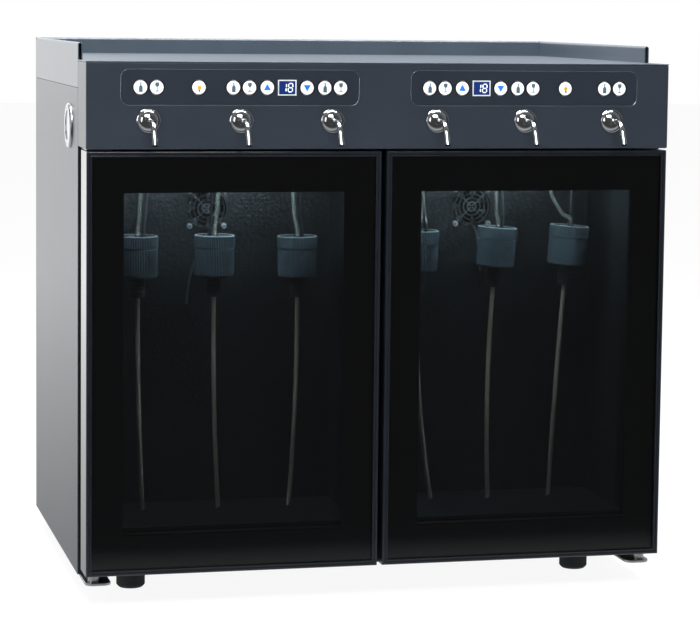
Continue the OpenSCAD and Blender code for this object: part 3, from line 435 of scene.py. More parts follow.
class Form:
    """A mesh drawn in design millimetres and closed into one piece."""

    def __init__(self, *finishes: Finish | ClearPane) -> None:
        """Starts an empty mesh.

        Args:
            *finishes: Finishes of the piece; the first one is used until use() is called.
        """
        self.bm = bmesh.new()
        self.finishes = finishes
        self.index = 0
        self.place = Matrix.Identity(4)

    def use(self, index: int) -> "Form":
        """Chooses the finish of what is drawn next."""
        self.index = index
        return self

    def at(self, place: Matrix) -> "Form":
        """Sets where the next shapes are drawn from."""
        self.place = place
        return self

    def take(self, verts: Sequence[bmesh.types.BMVert], faces: Sequence[bmesh.types.BMFace]) -> None:
        """Moves new points to their place and gives new faces the chosen finish.

        Args:
            verts: Points in local millimetres.
            faces: Faces made with them.
        """
        for v in verts:
            v.co = self.place @ v.co
        for f in faces:
            f.material_index = self.index

    def box(self, low: Point, high: Point, rounding: float) -> "Form":
        """Draws a block with rounded edges.

        Args:
            low: Lowest corner.
            high: Highest corner.
            rounding: Radius of the edges.

        Returns:
            The form.
        """
        known = set(self.bm.verts)
        middle = [(a + b) / 2 for a, b in zip(low, high)]
        size = [b - a for a, b in zip(low, high)]
        made = bmesh.ops.create_cube(self.bm, size=1.0)
        for v in made["verts"]:
            v.co = Vector([m + c * s for m, c, s in zip(middle, v.co, size)])
        edges = list({e for v in made["verts"] for e in v.link_edges})
        rounded(self.bm, edges, min([rounding] + [s / 2.2 for s in size]), 2)
        verts = [v for v in self.bm.verts if v not in known]
        self.take(verts, list({f for v in verts for f in v.link_faces}))
        return self

    def skin(self, rings: Sequence[Sequence[Sequence[float]]], close: bool = False,
             cap: bool = True) -> "Form":
        """Joins rings of as many points each into a skin.

        Args:
            rings: Rings of points in order.
            close: Whether the last ring joins the first.
            cap: Whether the ends are filled.

        Returns:
            The form.
        """
        made = [[self.bm.verts.new(p) for p in ring] for ring in rings]
        count, faces = len(made[0]), []
        pairs = list(zip(made, made[1:])) + ([(made[-1], made[0])] if close else [])
        for a, b in pairs:
            for i in range(count):
                j = (i + 1) % count
                faces.append(self.bm.faces.new((a[i], a[j], b[j], b[i])))
        if cap and not close:
            faces.append(self.bm.faces.new(list(reversed(made[0]))))
            faces.append(self.bm.faces.new(made[-1]))
        self.take([v for ring in made for v in ring], faces)
        return self

    def turned(self, profile: Sequence[Pair], steps: int = 48,
               wave: Callable[[int], float] | None = None, cap: bool = True) -> "Form":
        """Draws a body of revolution about local Z.

        Args:
            profile: Radius and height of each ring, from one end to the other.
            steps: Points round each ring.
            wave: Radius to add at each point, for ribs; rings with a negative radius skip it.
            cap: Whether the ends are filled.

        Returns:
            The form.
        """
        rings = []
        for radius, height in profile:
            ring = []
            for k, a in enumerate(circle(steps)):
                r = abs(radius) + (wave(k) if wave and radius > 0 else 0.0)
                ring.append((r * math.cos(a), r * math.sin(a), height))
            rings.append(ring)
        return self.skin(rings, cap=cap)

    def hoop(self, radius: float, wire: float, height: float, steps: int, sides: int) -> "Form":
        """Draws a ring of round wire about local Z.

        Args:
            radius: Radius of the ring's middle line.
            wire: Radius of the wire.
            height: Height of the middle line.
            steps: Points round the ring.
            sides: Points round the wire.

        Returns:
            The form.
        """
        return self.skin([[((radius + wire * math.cos(b)) * math.cos(t),
                            (radius + wire * math.cos(b)) * math.sin(t), height + wire * math.sin(b))
                           for b in circle(sides)] for t in circle(steps)], close=True)

    def tube(self, path: Sequence[Point], radius: float, sides: int = 14, bore: float = 0.0) -> "Form":
        """Draws a round bar or tube along a path.

        Args:
            path: Points of the middle line.
            radius: Outer radius.
            sides: Points round it.
            bore: Radius of the bore, or 0 for a bar.

        Returns:
            The form.
        """
        points = [Vector(p) for p in path]
        steps = [(b - a).normalized() for a, b in zip(points, points[1:])]
        heads = [steps[0]] + [(a + b).normalized() for a, b in zip(steps, steps[1:])] + [steps[-1]]
        side = heads[0].orthogonal().normalized()
        if abs(heads[0].x) < 0.9:
            side = heads[0].cross(Vector((1, 0, 0))).normalized()
        rings: list[list[Vector]] = []
        inner: list[list[Vector]] = []
        for p, head in zip(points, heads):
            side = (side - head * side.dot(head)).normalized()
            up = head.cross(side)
            spokes = [side * math.cos(a) + up * math.sin(a) for a in circle(sides)]
            rings.append([p + s * radius for s in spokes])
            inner.append([p + s * bore for s in spokes])
        if bore:
            return self.skin(rings + list(reversed(inner)), close=True)
        return self.skin(rings)

    def picture_frame(self, low: Pair, high: Pair, section: Sequence[Pair]) -> "Form":
        """Draws a section round an upright rectangle, mitred at the corners.

        Args:
            low: X and Z of the lower left corner.
            high: X and Z of the upper right corner.
            section: Closed section as insets from the rectangle and depths.

        Returns:
            The form.
        """
        corners = ((low[0], low[1], 1, 1), (high[0], low[1], -1, 1), (high[0], high[1], -1, -1),
                   (low[0], high[1], 1, -1))
        rings = [[(x + sx * inset, y, z + sz * inset) for inset, y in section]
                 for x, z, sx, sz in corners]
        return self.skin(rings, close=True)

    def slab(self, outline: Sequence[Pair], front: float, back: float) -> "Form":
        """Draws an upright plate from an outline in X and Z.

        Args:
            outline: Corners, counter-clockwise as seen from the front.
            front: Depth of the front face.
            back: Depth of the back face.

        Returns:
            The form.
        """
        return self.skin([[(x, front, z) for x, z in outline], [(x, back, z) for x, z in outline]])

    def piece(self, name: str, body: str, replaces: Sequence[str] = (), slot: str = "",
              sharp: float = 32.0) -> bpy.types.Object:
        """Closes the mesh into an object that rides on a body.

        Args:
            name: Name of the piece.
            body: CAD body that carries it.
            replaces: CAD nodes that it stands for.
            slot: Material slot; not used.
            sharp: Angle in degrees above which an edge stays sharp.

        Returns:
            The object.
        """
        bm = self.bm
        bmesh.ops.remove_doubles(bm, verts=bm.verts, dist=1e-4)
        bmesh.ops.recalc_face_normals(bm, faces=bm.faces)
        shade(bm, sharp)
        for v in bm.verts:
            v.co = part_point(v.co)
        return settle(finished(name, bm, *self.finishes), body, replaces)


def settle(piece: bpy.types.Object, body: str, replaces: Sequence[str] = ()) -> bpy.types.Object:
    """Lets a finished piece ride on its body and reports it.

    Args:
        piece: The object.
        body: CAD body that carries it.
        replaces: CAD nodes that it stands for.

    Returns:
        The object.
    """
    if piece.type == "MESH":
        even = piece.modifiers.new("even_normals", "WEIGHTED_NORMAL")
        even.keep_sharp = True
    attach(piece, body)
    if replaces:
        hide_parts(*replaces)
    LOG.info("piece %s on %s", piece.name, body)
    return piece


def dress(node: str, finish: Finish) -> None:
    """Gives a CAD node that stays its real finish.

    Args:
        node: Name of the node.
        finish: Its finish.
    """
    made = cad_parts[node]
    made.data.materials.clear()
    made.data.materials.append(finish.material())
    LOG.info("node %s in %s", node, finish.name)


def softened(node: str, body: str, finish: Finish, rounding: float,
             outer: float = 0.0) -> bpy.types.Object:
    """Stands in for a CAD node with the same shape and rounded edges.

    Args:
        node: Name of the node.
        body: Body that carries it.
        finish: Its finish.
        rounding: Radius of the edges in millimetres.
        outer: Radius of the node's outermost edges, or 0 for the same.

    Returns:
        The object.
    """
    bm = bmesh.new()
    bm.from_mesh(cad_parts[node].data)
    bmesh.ops.remove_doubles(bm, verts=bm.verts, dist=2e-6)
    bmesh.ops.dissolve_limit(bm, angle_limit=math.radians(FLAT_DEG), verts=bm.verts, edges=bm.edges)
    edges = [e for e in bm.edges if len(e.link_faces) == 2 and e.is_convex
             and e.calc_face_angle(0.0) > math.radians(CORNER_DEG)]
    ends = [(min(v.co[k] for v in bm.verts), max(v.co[k] for v in bm.verts)) for k in range(3)]
    rim = [e for e in edges if outer and sum(
        any(all(abs(v.co[k] - end) < 1e-5 for v in e.verts) for end in ends[k]) for k in range(3)) == 2]
    rounded(bm, [e for e in edges if e not in rim], rounding / 1000, 3)
    rounded(bm, [e for e in rim if e.is_valid], outer / 1000, 4)
    for v in bm.verts:
        v.co = Vector([min(max(c, low), high) for c, (low, high) in zip(v.co, ends)])
    shade(bm, SMOOTH_DEG)
    return settle(finished(node + "_edged", bm, finish), body, [node])


def facing(x: float, y: float, z: float) -> Matrix:
    """Frame whose local Z points to the front, for turned parts that face the user.

    Args:
        x: Middle in X.
        y: Depth of its origin.
        z: Height of its middle.

    Returns:
        The matrix.
    """
    return Matrix.Translation((x, y, z)) @ Matrix.Rotation(math.radians(90), 4, "X")


def smooth_route(points: Sequence[Point], count: int) -> list[Vector]:
    """Runs a smooth line through points.

    Args:
        points: Points in design millimetres.
        count: Number of points to return.

    Returns:
        Points in metres, evenly spaced in the line's own measure.
    """
    p = [part_point(q) for q in points]
    p = [p[0] * 2 - p[1]] + p + [p[-1] * 2 - p[-2]]
    spans = len(p) - 3
    out = []
    for n in range(count):
        t = n * spans / (count - 1)
        i = min(int(t), spans - 1)
        u = t - i
        a, b, c, d = p[i:i + 4]
        out.append((b * 2 + (c - a) * u + (a * 2 - b * 5 + c * 4 - d) * u * u
                    + (b * 3 - a - c * 3 + d) * u ** 3) / 2)
    return out


@dataclass(frozen=True)
class Viewpoint:
    """Camera of the photograph: focal length in pixels, angles in degrees, place in millimetres."""

    focal: float = 2522.8
    yaw: float = 13.682
    pitch: float = 5.304
    roll: float = 0.632
    place: Point = (-680.2, -2854.2, 644.9)
    rise: float = -0.1

    def build(self) -> None:
        """Makes the camera and sets it as the scene's."""
        yaw, pitch, roll = (math.radians(a) for a in (self.yaw, self.pitch, self.roll))
        ahead = Vector((math.sin(yaw) * math.cos(pitch), math.cos(yaw) * math.cos(pitch),
                        -math.sin(pitch)))
        right = Vector((math.cos(yaw), -math.sin(yaw), 0))
        up = right.cross(ahead)
        side = right * math.cos(roll) + up * math.sin(roll)
        top = up * math.cos(roll) - right * math.sin(roll)
        data = bpy.data.cameras.new("camera")
        data.sensor_width = 36.0
        data.lens = self.focal / PHOTO_WIDTH * data.sensor_width
        data.shift_y = self.rise
        data.clip_start, data.clip_end = 0.1, 60
        made = placed("camera", data)
        turn = Matrix((side, top, -ahead)).transposed().to_4x4()
        made.matrix_world = Matrix.Translation(Vector(self.place) / 1000) @ turn
        bpy.context.scene.camera = made


@dataclass
class Hanging:
    """Caps, stoppers, dip tubes and hoses at their six places, and the probe leads."""

    chamber_x: float = 158.5
    port_pitch: float = 86.0
    cap_y: float = 135.0
    gas_back: float = 8.0
    ceiling: float = 475.0
    flange: float = 2.0
    hose_d: float = 5.0
    nipple: float = 2.0
    cap_d: float = 46.0
    cap_h: float = 46.0
    cap_ribs: int = 72
    tier: float = 14.0
    stopper_d: float = 18.0
    stopper_l: float = 22.0
    plug_flange: float = 1.5
    dip_d: float = 5.0
    dip_low: float = 80.0
    back_y: float = 205.0
    lead_d: float = 2.4
    cap_x: tuple = (-249, -162, -67, 76, 170, 257)
    cap_top: tuple = (391, 391, 389, 394, 397, 398)
    tilt: tuple = (0, 0.5, -0.5, 1, 4, 4.5)
    dip_turn: tuple = (3, 4, -5, 11, 7, 2)
    gas_dx: tuple = (8, -8, 8, 8, 9, 16)
    gas_on_cap: tuple = ((7, 3), (-4, 7), (6, 5), (8, 0), (6, 5), (4, 7))
    wine_bends: tuple = (
        ((-1, 0, 444), (-3, 0, 414)), ((1, 0, 444), (-2, 0, 414)), ((0, 0, 444), (2, 0, 414)),
        ((7, 0, 446), (7, 0, 416)), ((8, 0, 446), (9, 0, 416)),
        ((-7, 0, 452), (-11, 0, 438), (-7, 0, 427), (4, 0, 411)))
    gas_bends: tuple = (
        ((-1, 0, 440), (-4, -3, 412)), ((3, 0, 440), (2, 0, 412)), ((1, 0, 440), (1, -2, 412)),
        ((1, 0, 440), (3, -4, 412)), ((8, 0, 444), (9, -4, 414)), ((1, 0, 440), (0, -2, 412)))
    lead_routes: tuple = (
        ((-6, 0, 378), (-6, 3, 378), (-6, 7, 376), (-9, 8, 370), (-14, 8, 358), (-19, 7, 342),
         (-22, 6, 324), (-24, 6, 306)),
        ((2, 0, 392), (2, 3, 392), (2, 7, 390), (4, 8, 385), (6, 8, 374), (8, 7, 362), (9, 6, 350),
         (10, 6, 338)))

    def port_x(self, i: int) -> float:
        """X of a wine gland."""
        return station(i, self.chamber_x, self.port_pitch)

    def on_cap(self, i: int, x: float, y: float, z: float) -> Point:
        """A point of a cap's own frame, in design millimetres."""
        c, s = math.cos(math.radians(self.tilt[i])), math.sin(math.radians(self.tilt[i]))
        return (self.cap_x[i] + x * c + z * s, self.cap_y + y, self.cap_top[i] - x * s + z * c)

    def cap_frame(self, i: int) -> Matrix:
        """Frame of a cap, whose origin is the middle of its top."""
        return (Matrix.Translation((self.cap_x[i], self.cap_y, self.cap_top[i]))
                @ Matrix.Rotation(math.radians(self.tilt[i]), 4, "Y"))

    def cord(self, name: str, node: str, route: Sequence[Point], diameter: float, finish: Finish,
             slot: str, count: int, **facts: object) -> None:
        """Args:
            name: Name of the piece.
            node: CAD node that it stands for.
            route: Points in design millimetres.
            diameter: Diameter in millimetres.
            finish: Its finish.
            slot: Material slot; not used.
            count: Points on the curve.
            **facts: What else is given; not used.
        """
        points = smooth_route(route, count)
        data = bpy.data.curves.new(name, "CURVE")
        data.dimensions = "3D"
        data.bevel_depth = diameter / 2000
        data.bevel_resolution = 4
        data.use_fill_caps = True
        line = data.splines.new("POLY")
        line.points.add(len(points) - 1)
        for p, q in zip(line.points, points):
            p.co = (*q, 1.0)
        line.use_smooth = True
        data.materials.append(finish.material())
        made = settle(placed(name, data), "cabinet", [node])

    def build_cords(self) -> None:
        """Makes the hoses and the probe leads."""
        low = self.ceiling - self.flange
        for i in range(6):
            x, top = self.port_x(i), self.nipple
            wine = [(x, self.cap_y, low), (x, self.cap_y, low - self.hose_d)]
            wine += [(x + a, self.cap_y + b, c) for a, b, c in self.wine_bends[i]]
            wine += [self.on_cap(i, 0, 0, top + 6), self.on_cap(i, 0, 0, top)]
            self.cord(f"wine_hose_{i + 1}", "hoses", wine, self.hose_d, WINE_HOSE, "hose", 22,
                      far_end="object", stiffness="medium")
            x, y = x + self.gas_dx[i], self.cap_y + self.gas_back
            a, b = self.gas_on_cap[i]
            gas = [(x, y, low), (x, y, low - self.hose_d)]
            gas += [(x + p, y + q, r) for p, q, r in self.gas_bends[i]]
            gas += [self.on_cap(i, a, b, top + 6), self.on_cap(i, a, b, top)]
            self.cord(f"gas_hose_{i + 1}", "hoses", gas, self.hose_d - 1, GAS_HOSE, "hose", 22,
                      far_end="object", stiffness="medium")
        for (side, name), route in zip(NAMED_SIDES, self.lead_routes):
            points = [(side * self.chamber_x + x, self.back_y - y, z) for x, y, z in route]
            bulb = Form(BRASS).at(Matrix.Translation(points[-1])).turned([
                (0.8, -18), (1.6, -17.4), (2, -16.4), (2, -3), (1.7, -2.4), (1.7, -1.4), (2, -1),
                (1.9, 0)], 20).piece(name + "_probe_tip", "cabinet", slot="lead")
            self.cord(name + "_probe_lead", "probe_leads", points, self.lead_d, LEAD, "lead", 24,
                      far_end="fitting", stiffness="limp", with_pieces=[bulb])

    def build(self) -> None:
        """Makes the caps, the glands and the dip tubes."""
        for i in range(6):
            self.cap(i)
            self.dip_tube(i)
            self.glands(i)

    def cap(self, i: int) -> None:
        """Makes one ribbed cap with its stopper.

        Args:
            i: Number of the place, from the left.
        """
        form = Form(CAP, CAP_RIM_HIGHLIGHT, RUBBER, BRASS, BLACK_ABS).at(self.cap_frame(i))
        r, t, h = self.cap_d / 2, self.tier, self.cap_h
        form.turned([
            (-(r - 4.4), -1.9), (-(r - 3.4), -1.7), (-(r - 2.9), -0.5), (-(r - 2.2), -0.1),
            (-(r - 1.2), -0.15), (-(r - 0.4), -0.8), (r, -1.5), (r, -t + 1.6), (-(r - 0.6), -t + 0.5),
            (-(r - 1.2), -t), (-(r - 1.3), -t - 1), (-(r - 1), -t - 1.3), (r - 0.75, -t - 2.2),
            (r - 0.75, -h + 2.6), (-(r - 1.1), -h + 1.4), (-(r - 1.9), -h + 0.5), (-(r - 3), -h)],
            self.cap_ribs * RIB_POINTS, ribs(0.35, 1.1))
        # The ring along the cap's rim takes the painted highlight
        form.use(1).turned([(r - 2.9, -0.42), (r - 2.2, 0.0), (r - 1.2, 0.0), (r - 0.35, -0.72),
                            (r - 0.8, -0.9), (r - 2.4, -0.5)], 96, cap=False)
        form.use(3).turned([(3.9, -2), (3.9, -0.2), (3.4, 0.1), (3.0, 0.2), (3.0, 1.6), (2.7, 2)], 6)
        a, b = self.gas_on_cap[i]
        form.at(self.cap_frame(i) @ Matrix.Translation((a, b, 0)))
        form.use(4).turned([(2.9, -2), (2.9, 0.9), (2.6, 1.2), (2.3, 1.4), (2.2, 2)], 24)
        form.at(self.cap_frame(i) @ Matrix.Translation((-12, 4, 0)))
        form.use(3).turned([(2.0, -2), (2.0, 0.2), (1.6, 0.6), (1.1, 0.6), (0.9, 0.1)], 24)
        form.at(self.cap_frame(i)).use(2)
        low = -h - self.plug_flange
        q = self.stopper_d / 2
        profile = [(q + 5.6, -h), (q + 6, -h - 0.4), (q + 5.7, low), (q - 1, low)]
        for k in (1, 2, 3):
            z = low - 5 * k
            profile += [(q - 1, z + 0.5), (q, z - 0.4), (q - 0.2, z - 1.2), (q - 1, z - 1.5)]
        profile += [(q - 1, low - self.stopper_l + 0.8), (q - 1.8, low - self.stopper_l)]
        form.turned(profile, 48)
        form.piece(f"bottle_cap_{i + 1}", "cabinet", ["bottle_caps"], "cap_plastic")

    def dip_tube(self, i: int) -> None:
        """Makes one curled dip tube with its slanted end.

        Args:
            i: Number of the place, from the left.
        """
        top = -self.cap_h - self.plug_flange - self.stopper_l
        length = self.cap_top[i] + top - self.dip_low
        turn = math.radians(self.dip_turn[i])
        radius = length / abs(turn)
        sign = 1 if turn > 0 else -1
        path = []
        for k in range(19):
            a = abs(turn) * k / 18
            path.append((sign * radius * (1 - math.cos(a)), 0.0, top - radius * math.sin(a)))
        form = Form(DIP_TUBE).at(self.cap_frame(i))
        form.tube(path, self.dip_d / 2, 16, self.dip_d / 2 - 1)
        end = self.cap_frame(i) @ Vector(path[-1])
        for v in form.bm.verts:
            if (v.co - end).length < self.dip_d:
                v.co.z += 0.9 + 0.5 * (v.co.x - end.x)
        form.piece(f"dip_tube_{i + 1}", "cabinet", ["dip_tubes"], "dip_tube")

    def glands(self, i: int) -> None:
        """Makes the two glands of a place in the ceiling.

        Args:
            i: Number of the place, from the left.
        """
        form = Form(BLACK_ABS)
        for k in (0, 1):
            x, y = self.port_x(i) + k * self.gas_dx[i], self.cap_y + k * self.gas_back
            form.at(Matrix.Translation((x, y, self.ceiling)))
            form.turned([(3.1, -2), (4.6, -1.7), (5, -1.2), (5, 0), (3.5, 0), (3.5, 28)], 30)
        form.piece(f"hose_glands_{i + 1}", "cabinet", ["hose_glands"], "black_plastic")


@dataclass
class Shell:
    """Cabinet's sheet parts, brackets, feet and the port cover."""

    half_w: float = 325.0
    foot_h: float = 25.0
    foot_d: float = 32.0
    foot_ribs: int = 56
    foot_x: float = 260.0
    foot_ys: Pair = (106.0, 420.0)
    cover_y: float = 134.4
    cover_z: float = 514.0
    cover_d: float = 50.0
    cover_t: float = 3.0

    def build(self) -> None:
        """Makes the shell's pieces and dresses what stays."""
        softened("base_pan", "cabinet", POWDER, 0.25)
        softened("side_panels", "cabinet", POWDER, 0.4)
        softened("rear_panel", "cabinet", POWDER, 0.25)
        # The top cover takes the lighter tone of painted light
        softened("top_cover", "cabinet", POWDER_TOP_LIT, 0.3)
        softened("front_frame", "cabinet", STUCCO, 0.4)
        softened("hinge_brackets", "cabinet", ZINC, 0.5)
        dress("insulation", FOAM)
        self.port_cover()
        for y, end in zip(self.foot_ys, ("front", "rear")):
            for side, name in NAMED_SIDES:
                self.foot(f"{end}_{name}_foot", side * self.foot_x, y)

    def foot(self, node: str, x: float, y: float) -> None:
        """Makes one ribbed levelling foot with its stud.

        Args:
            node: Name of the CAD node.
            x: Middle in X.
            y: Middle in Y.
        """
        r, h = self.foot_d / 2, self.foot_h
        form = Form(RUBBER, ZINC).at(Matrix.Translation((x, y, 0)))
        form.turned([(-(r - 4), 0), (-(r - 3), 0.2), (-(r - 1.2), 1.8), (r, 3.4), (r, h - 3.2),
                     (-(r - 0.9), h - 2.2), (-(r - 1), h - 1), (-(r - 1.6), h - 0.3), (-(r - 2.6), h)],
                    self.foot_ribs * RIB_POINTS, ribs(0.15, 0.5))
        thread = [(4, h)]
        for k in range(16):
            z = h + 0.5 + k * 1.2
            thread += [(4, z), (3.5, z + 0.6)]
        form.use(1).turned(thread + [(3.4, h + 20)], 24)
        form.piece(node + "_ribbed", node, [node], "foot")

    def port_cover(self) -> None:
        """Makes the round port cover on the left side with its sunk disc."""
        r = self.cover_d / 2
        turn = Matrix.Rotation(math.radians(-90), 4, "Y")
        spot = Matrix.Translation((-self.half_w, self.cover_y, self.cover_z))
        form = Form(BRUSHED).at(spot @ turn)
        form.turned([(r, 0), (r, 0.9), (r - 0.3, 1.7), (r - 1.0, 2.5), (r - 2.2, 2.95), (r - 3.2, 3),
                     (r - 7.2, 3), (r - 7.8, 2.7), (r - 8, 2.2), (r - 8.4, 1.8), (6, 1.8), (3, 1.8)], 96)
        form.piece("port_cover_disc", "cabinet", ["port_cover"], "aluminium")


@dataclass
class Chambers:
    """Liners, light strips and the circulation fans behind their guards."""

    chamber_x: float = 158.5
    back_y: float = 205.0
    fan_z: float = 415.0
    fan_bore: float = 46.0
    fan_pitch: float = 40.0
    wire: float = 1.6
    cross: float = 0.9
    eye: float = 6.4

    def build(self) -> None:
        """Makes the chambers' pieces and dresses what stays."""
        dress("fan_housings", FAN_PBT)
        softened("light_strips", "cabinet", DIFFUSER, 1.5)
        for side, name in NAMED_SIDES:
            dress(name + "_chamber_liner", STUCCO)
            dress(name + "_fan_rotor", FAN_PBT)
            self.guard(name + "_fan_guard", (side * self.chamber_x, self.back_y - self.wire, self.fan_z),
                       [k * self.fan_bore / 9 for k in (1, 2, 3, 4)], self.fan_pitch)

    def guard(self, name: str, place: Point, radii: Sequence[float], pitch: float,
              back: bool = False) -> None:
        """Makes a wire guard of rings on a cross with an eye at each screw.

        Args:
            name: Name of the piece.
            place: Middle of its nearer face.
            radii: Radii of the rings.
            pitch: Distance between the screws.
            back: Whether it faces the back.
        """
        r, cross, eye = self.wire / 2, self.cross / 2, self.eye / 2
        middle = Matrix.Translation(place)
        upright = Matrix.Rotation(math.radians(-90), 4, "X")
        front, rear = (self.wire - r, cross) if back else (r, self.wire - cross)
        form = Form(WIRE).at(middle @ upright)
        for radius in radii:
            form.hoop(radius, r, front, 72, 10)
        far = pitch / math.sqrt(2)
        for a in (45, 135, 225, 315):
            c, s = math.cos(math.radians(a)), math.sin(math.radians(a))
            form.at(middle).tube([(c * d, rear, s * d) for d in (1.0, radii[-1], far - eye)], cross, 10)
            form.at(middle @ Matrix.Translation((c * far, 0, s * far)) @ upright)
            form.hoop(eye - 0.1, r, front, 24, 8)
        form.piece(name, "cabinet", ["fan_guards"], "zinc")


@dataclass
class Head:
    """Fascia with its inset panels, buttons, displays and pouring spouts."""

    chamber_x: float = 158.5
    panel_z: float = 560.5
    spout_z: float = 525.0
    pitch: float = 100.0
    pair_half: float = 8.75
    display_x: float = 50.0
    arrow_x: float = 21.8
    light_x: float = 46.0
    panel_sink: float = 0.8
    panel_w: float = 259.0
    panel_h: float = 38.0
    panel_r: float = 9.0
    bead: float = 0.5
    button_d: float = 15.6
    button_face: float = 0.2
    ear_y: float = 3.9
    display_w: float = 20.4
    display_h: float = 16.8
    rosette_d: float = 26.0
    rosette_h: float = 8.0
    spout_d: float = 6.0
    spout_bore: float = 4.0
    spout_run: float = 20.0
    spout_bend: float = 20.0
    spout_angle: float = 65.0
    spout_leg: float = 14.0

    def places(self, side: int) -> list[float]:
        """Middles of a panel's push buttons: pairs, arrows and light.

        Args:
            side: LEFT or RIGHT.

        Returns:
            Distances from the panel's middle.
        """
        pairs = [p * self.pitch + h * self.pair_half for p in (-1, 0, 1) for h in (-1, 1)]
        middle = -side * self.display_x
        return pairs + [middle - self.arrow_x, middle + self.arrow_x, side * self.light_x]

    def build(self) -> None:
        """Makes the head's pieces and dresses what stays."""
        softened("fascia", "cabinet", POWDER, 0.5, 1.4)
        softened("control_panels", "cabinet", PANEL_ABS, 0.35)
        dress("control_boards", BOARD)
        for i in range(6):
            self.spout(f"pour_spout_{i + 1}", station(i, self.chamber_x, self.pitch))
        signs = [f"{kind}_button_{k}" for k in (1, 2, 3) for kind in ("bottle", "glass")]
        signs += ["up_button", "down_button", "light_button"]
        for side, name in NAMED_SIDES:
            for sign, x in zip(signs, self.places(side)):
                self.button(f"{name}_{sign}", sign.split("_")[0], side * self.chamber_x + x)
            self.shade_rings(name + "_button_bezels", side)
            self.display(name + "_display", side * (self.chamber_x - self.display_x))

    def shade_rings(self, name: str, side: int) -> None:
        """Makes the near-black rings of painted shade round a panel's buttons and the pale bead of
        painted highlight along its edge.

        Args:
            name: Name of the piece.
            side: LEFT or RIGHT.
        """
        form = Form(GAP_SHADE, PANEL_EDGE_HIGHLIGHT)
        r = self.button_d / 2
        # Each ring is painted shade of the gap round a button
        for x in self.places(side):
            form.at(facing(side * self.chamber_x + x, self.panel_sink, self.panel_z))
            form.turned([(r + 0.42, -1.2), (r + 0.42, -0.12), (r + 0.5, 0.0), (r + 0.8, 0.04),
                         (r + 0.93, 0.02), (r + 0.93, -0.1), (r + 0.6, -0.14), (r + 0.6, -1.2)], 56,
                        cap=False)
        bead, r = self.bead, self.panel_r + 0.1
        w, h = self.panel_w / 2 + 0.1 - r, self.panel_h / 2 + 0.1 - r
        rings = []
        for sx, sz, start in ((1, 1, 0), (-1, 1, 90), (-1, -1, 180), (1, -1, 270)):
            for a in (math.radians(start + 90 * k / 8) for k in range(9)):
                rings.append([(sx * w + (r + bead * math.cos(b)) * math.cos(a),
                               bead + 0.02 + bead * math.sin(b),
                               sz * h + (r + bead * math.cos(b)) * math.sin(a))
                              for b in circle(10)])
        # The bead along the panel's edge carries the painted highlight line
        form.at(Matrix.Translation((side * self.chamber_x, 0, self.panel_z)))
        form.use(1).skin(rings, close=True)
        form.piece(name, "cabinet", slot="panel_plastic")

    def button(self, node: str, sign: str, x: float) -> None:
        """Makes one push button with its printed sign.

        Args:
            node: Name of the CAD node.
            sign: What is printed on it.
            x: Middle in X.
        """
        r, deep = self.button_d / 2, self.ear_y + 1 - self.button_face
        form = Form(BUTTON, SLATE_INK, PALE_INK, BLUE_INK, AMBER_INK, NAVY_INK, GAP_SHADE)
        form.at(facing(x, self.button_face, self.panel_z))
        # The button's stem, side and rounded edge take the painted gap shade, so the dark outline runs
        # up to the white face
        form.use(6).turned([(2, -deep - 2), (2, -deep), (r, -deep), (r, -0.7), (r - 0.12, -0.35),
                            (r - 0.35, -0.18), (r - 0.55, -0.16), (r - 0.62, -0.5)], 56)
        form.use(0).turned([(r - 0.56, -0.7), (r - 0.56, -0.16), (r - 0.7, -0.05), (r - 1.0, 0.0),
                            (3, 0.0)], 56)
        form.at(Matrix.Translation((x, 0, self.panel_z)))
        form.box((-4, self.ear_y, -10.2), (4, self.ear_y + 1, 10.2), 0.2)
        front, back = self.button_face - 0.05, self.button_face + 0.03
        if sign == "bottle":
            form.use(1).slab([(-1.4, -5.0), (2.2, -5.0), (2.4, -4.7), (2.4, 0.2), (1.9, 1.3), (1.0, 2.2),
                              (1.0, 4.2), (1.15, 4.3), (1.15, 5.2), (-0.35, 5.2), (-0.35, 4.3),
                              (-0.2, 4.2), (-0.2, 2.2), (-1.1, 1.3), (-1.6, 0.2), (-1.6, -4.7)], front,
                             back)
        elif sign == "glass":
            form.use(1).slab([(-0.1, 0.5), (0.9, 0.5), (2.1, 1.3), (2.5, 2.5), (2.4, 5.1), (-1.6, 5.1),
                              (-1.7, 2.5), (-1.3, 1.3)], front, back)
            form.use(2).slab([(-0.05, -3.5), (0.85, -3.5), (0.85, 0.6), (-0.05, 0.6)], front, back)
            form.use(2).slab([(-2.3, -4.5), (3.1, -4.5), (1.8, -3.4), (-1.0, -3.4)], front - 0.01, back)
        elif sign == "light":
            bulb = [(0.5 + 2.1 * math.cos(a), -0.2 + 2.1 * math.sin(a)) for a in circle(28)]
            form.use(4).slab(bulb, front, back)
            form.use(4).slab([(-0.6, -2.9), (1.6, -2.9), (2.0, -1.3), (-1.0, -1.3)], front - 0.01, back)
            form.use(5).slab([(-0.5, -4.1), (-0.1, -4.6), (1.1, -4.6), (1.5, -4.1), (1.5, -2.9),
                              (-0.5, -2.9)], front, back)
        else:
            up = 1 if sign == "up" else -1
            tip = [(-3.7, -2.9 * up), (3.7, -2.9 * up), (3.6, -2.3 * up), (0.35, 3.5 * up),
                   (-0.35, 3.5 * up), (-3.6, -2.3 * up)]
            form.use(3).slab(tip if up > 0 else tip[::-1], front, back)
        form.piece(node + "_printed", node, [node], "button")

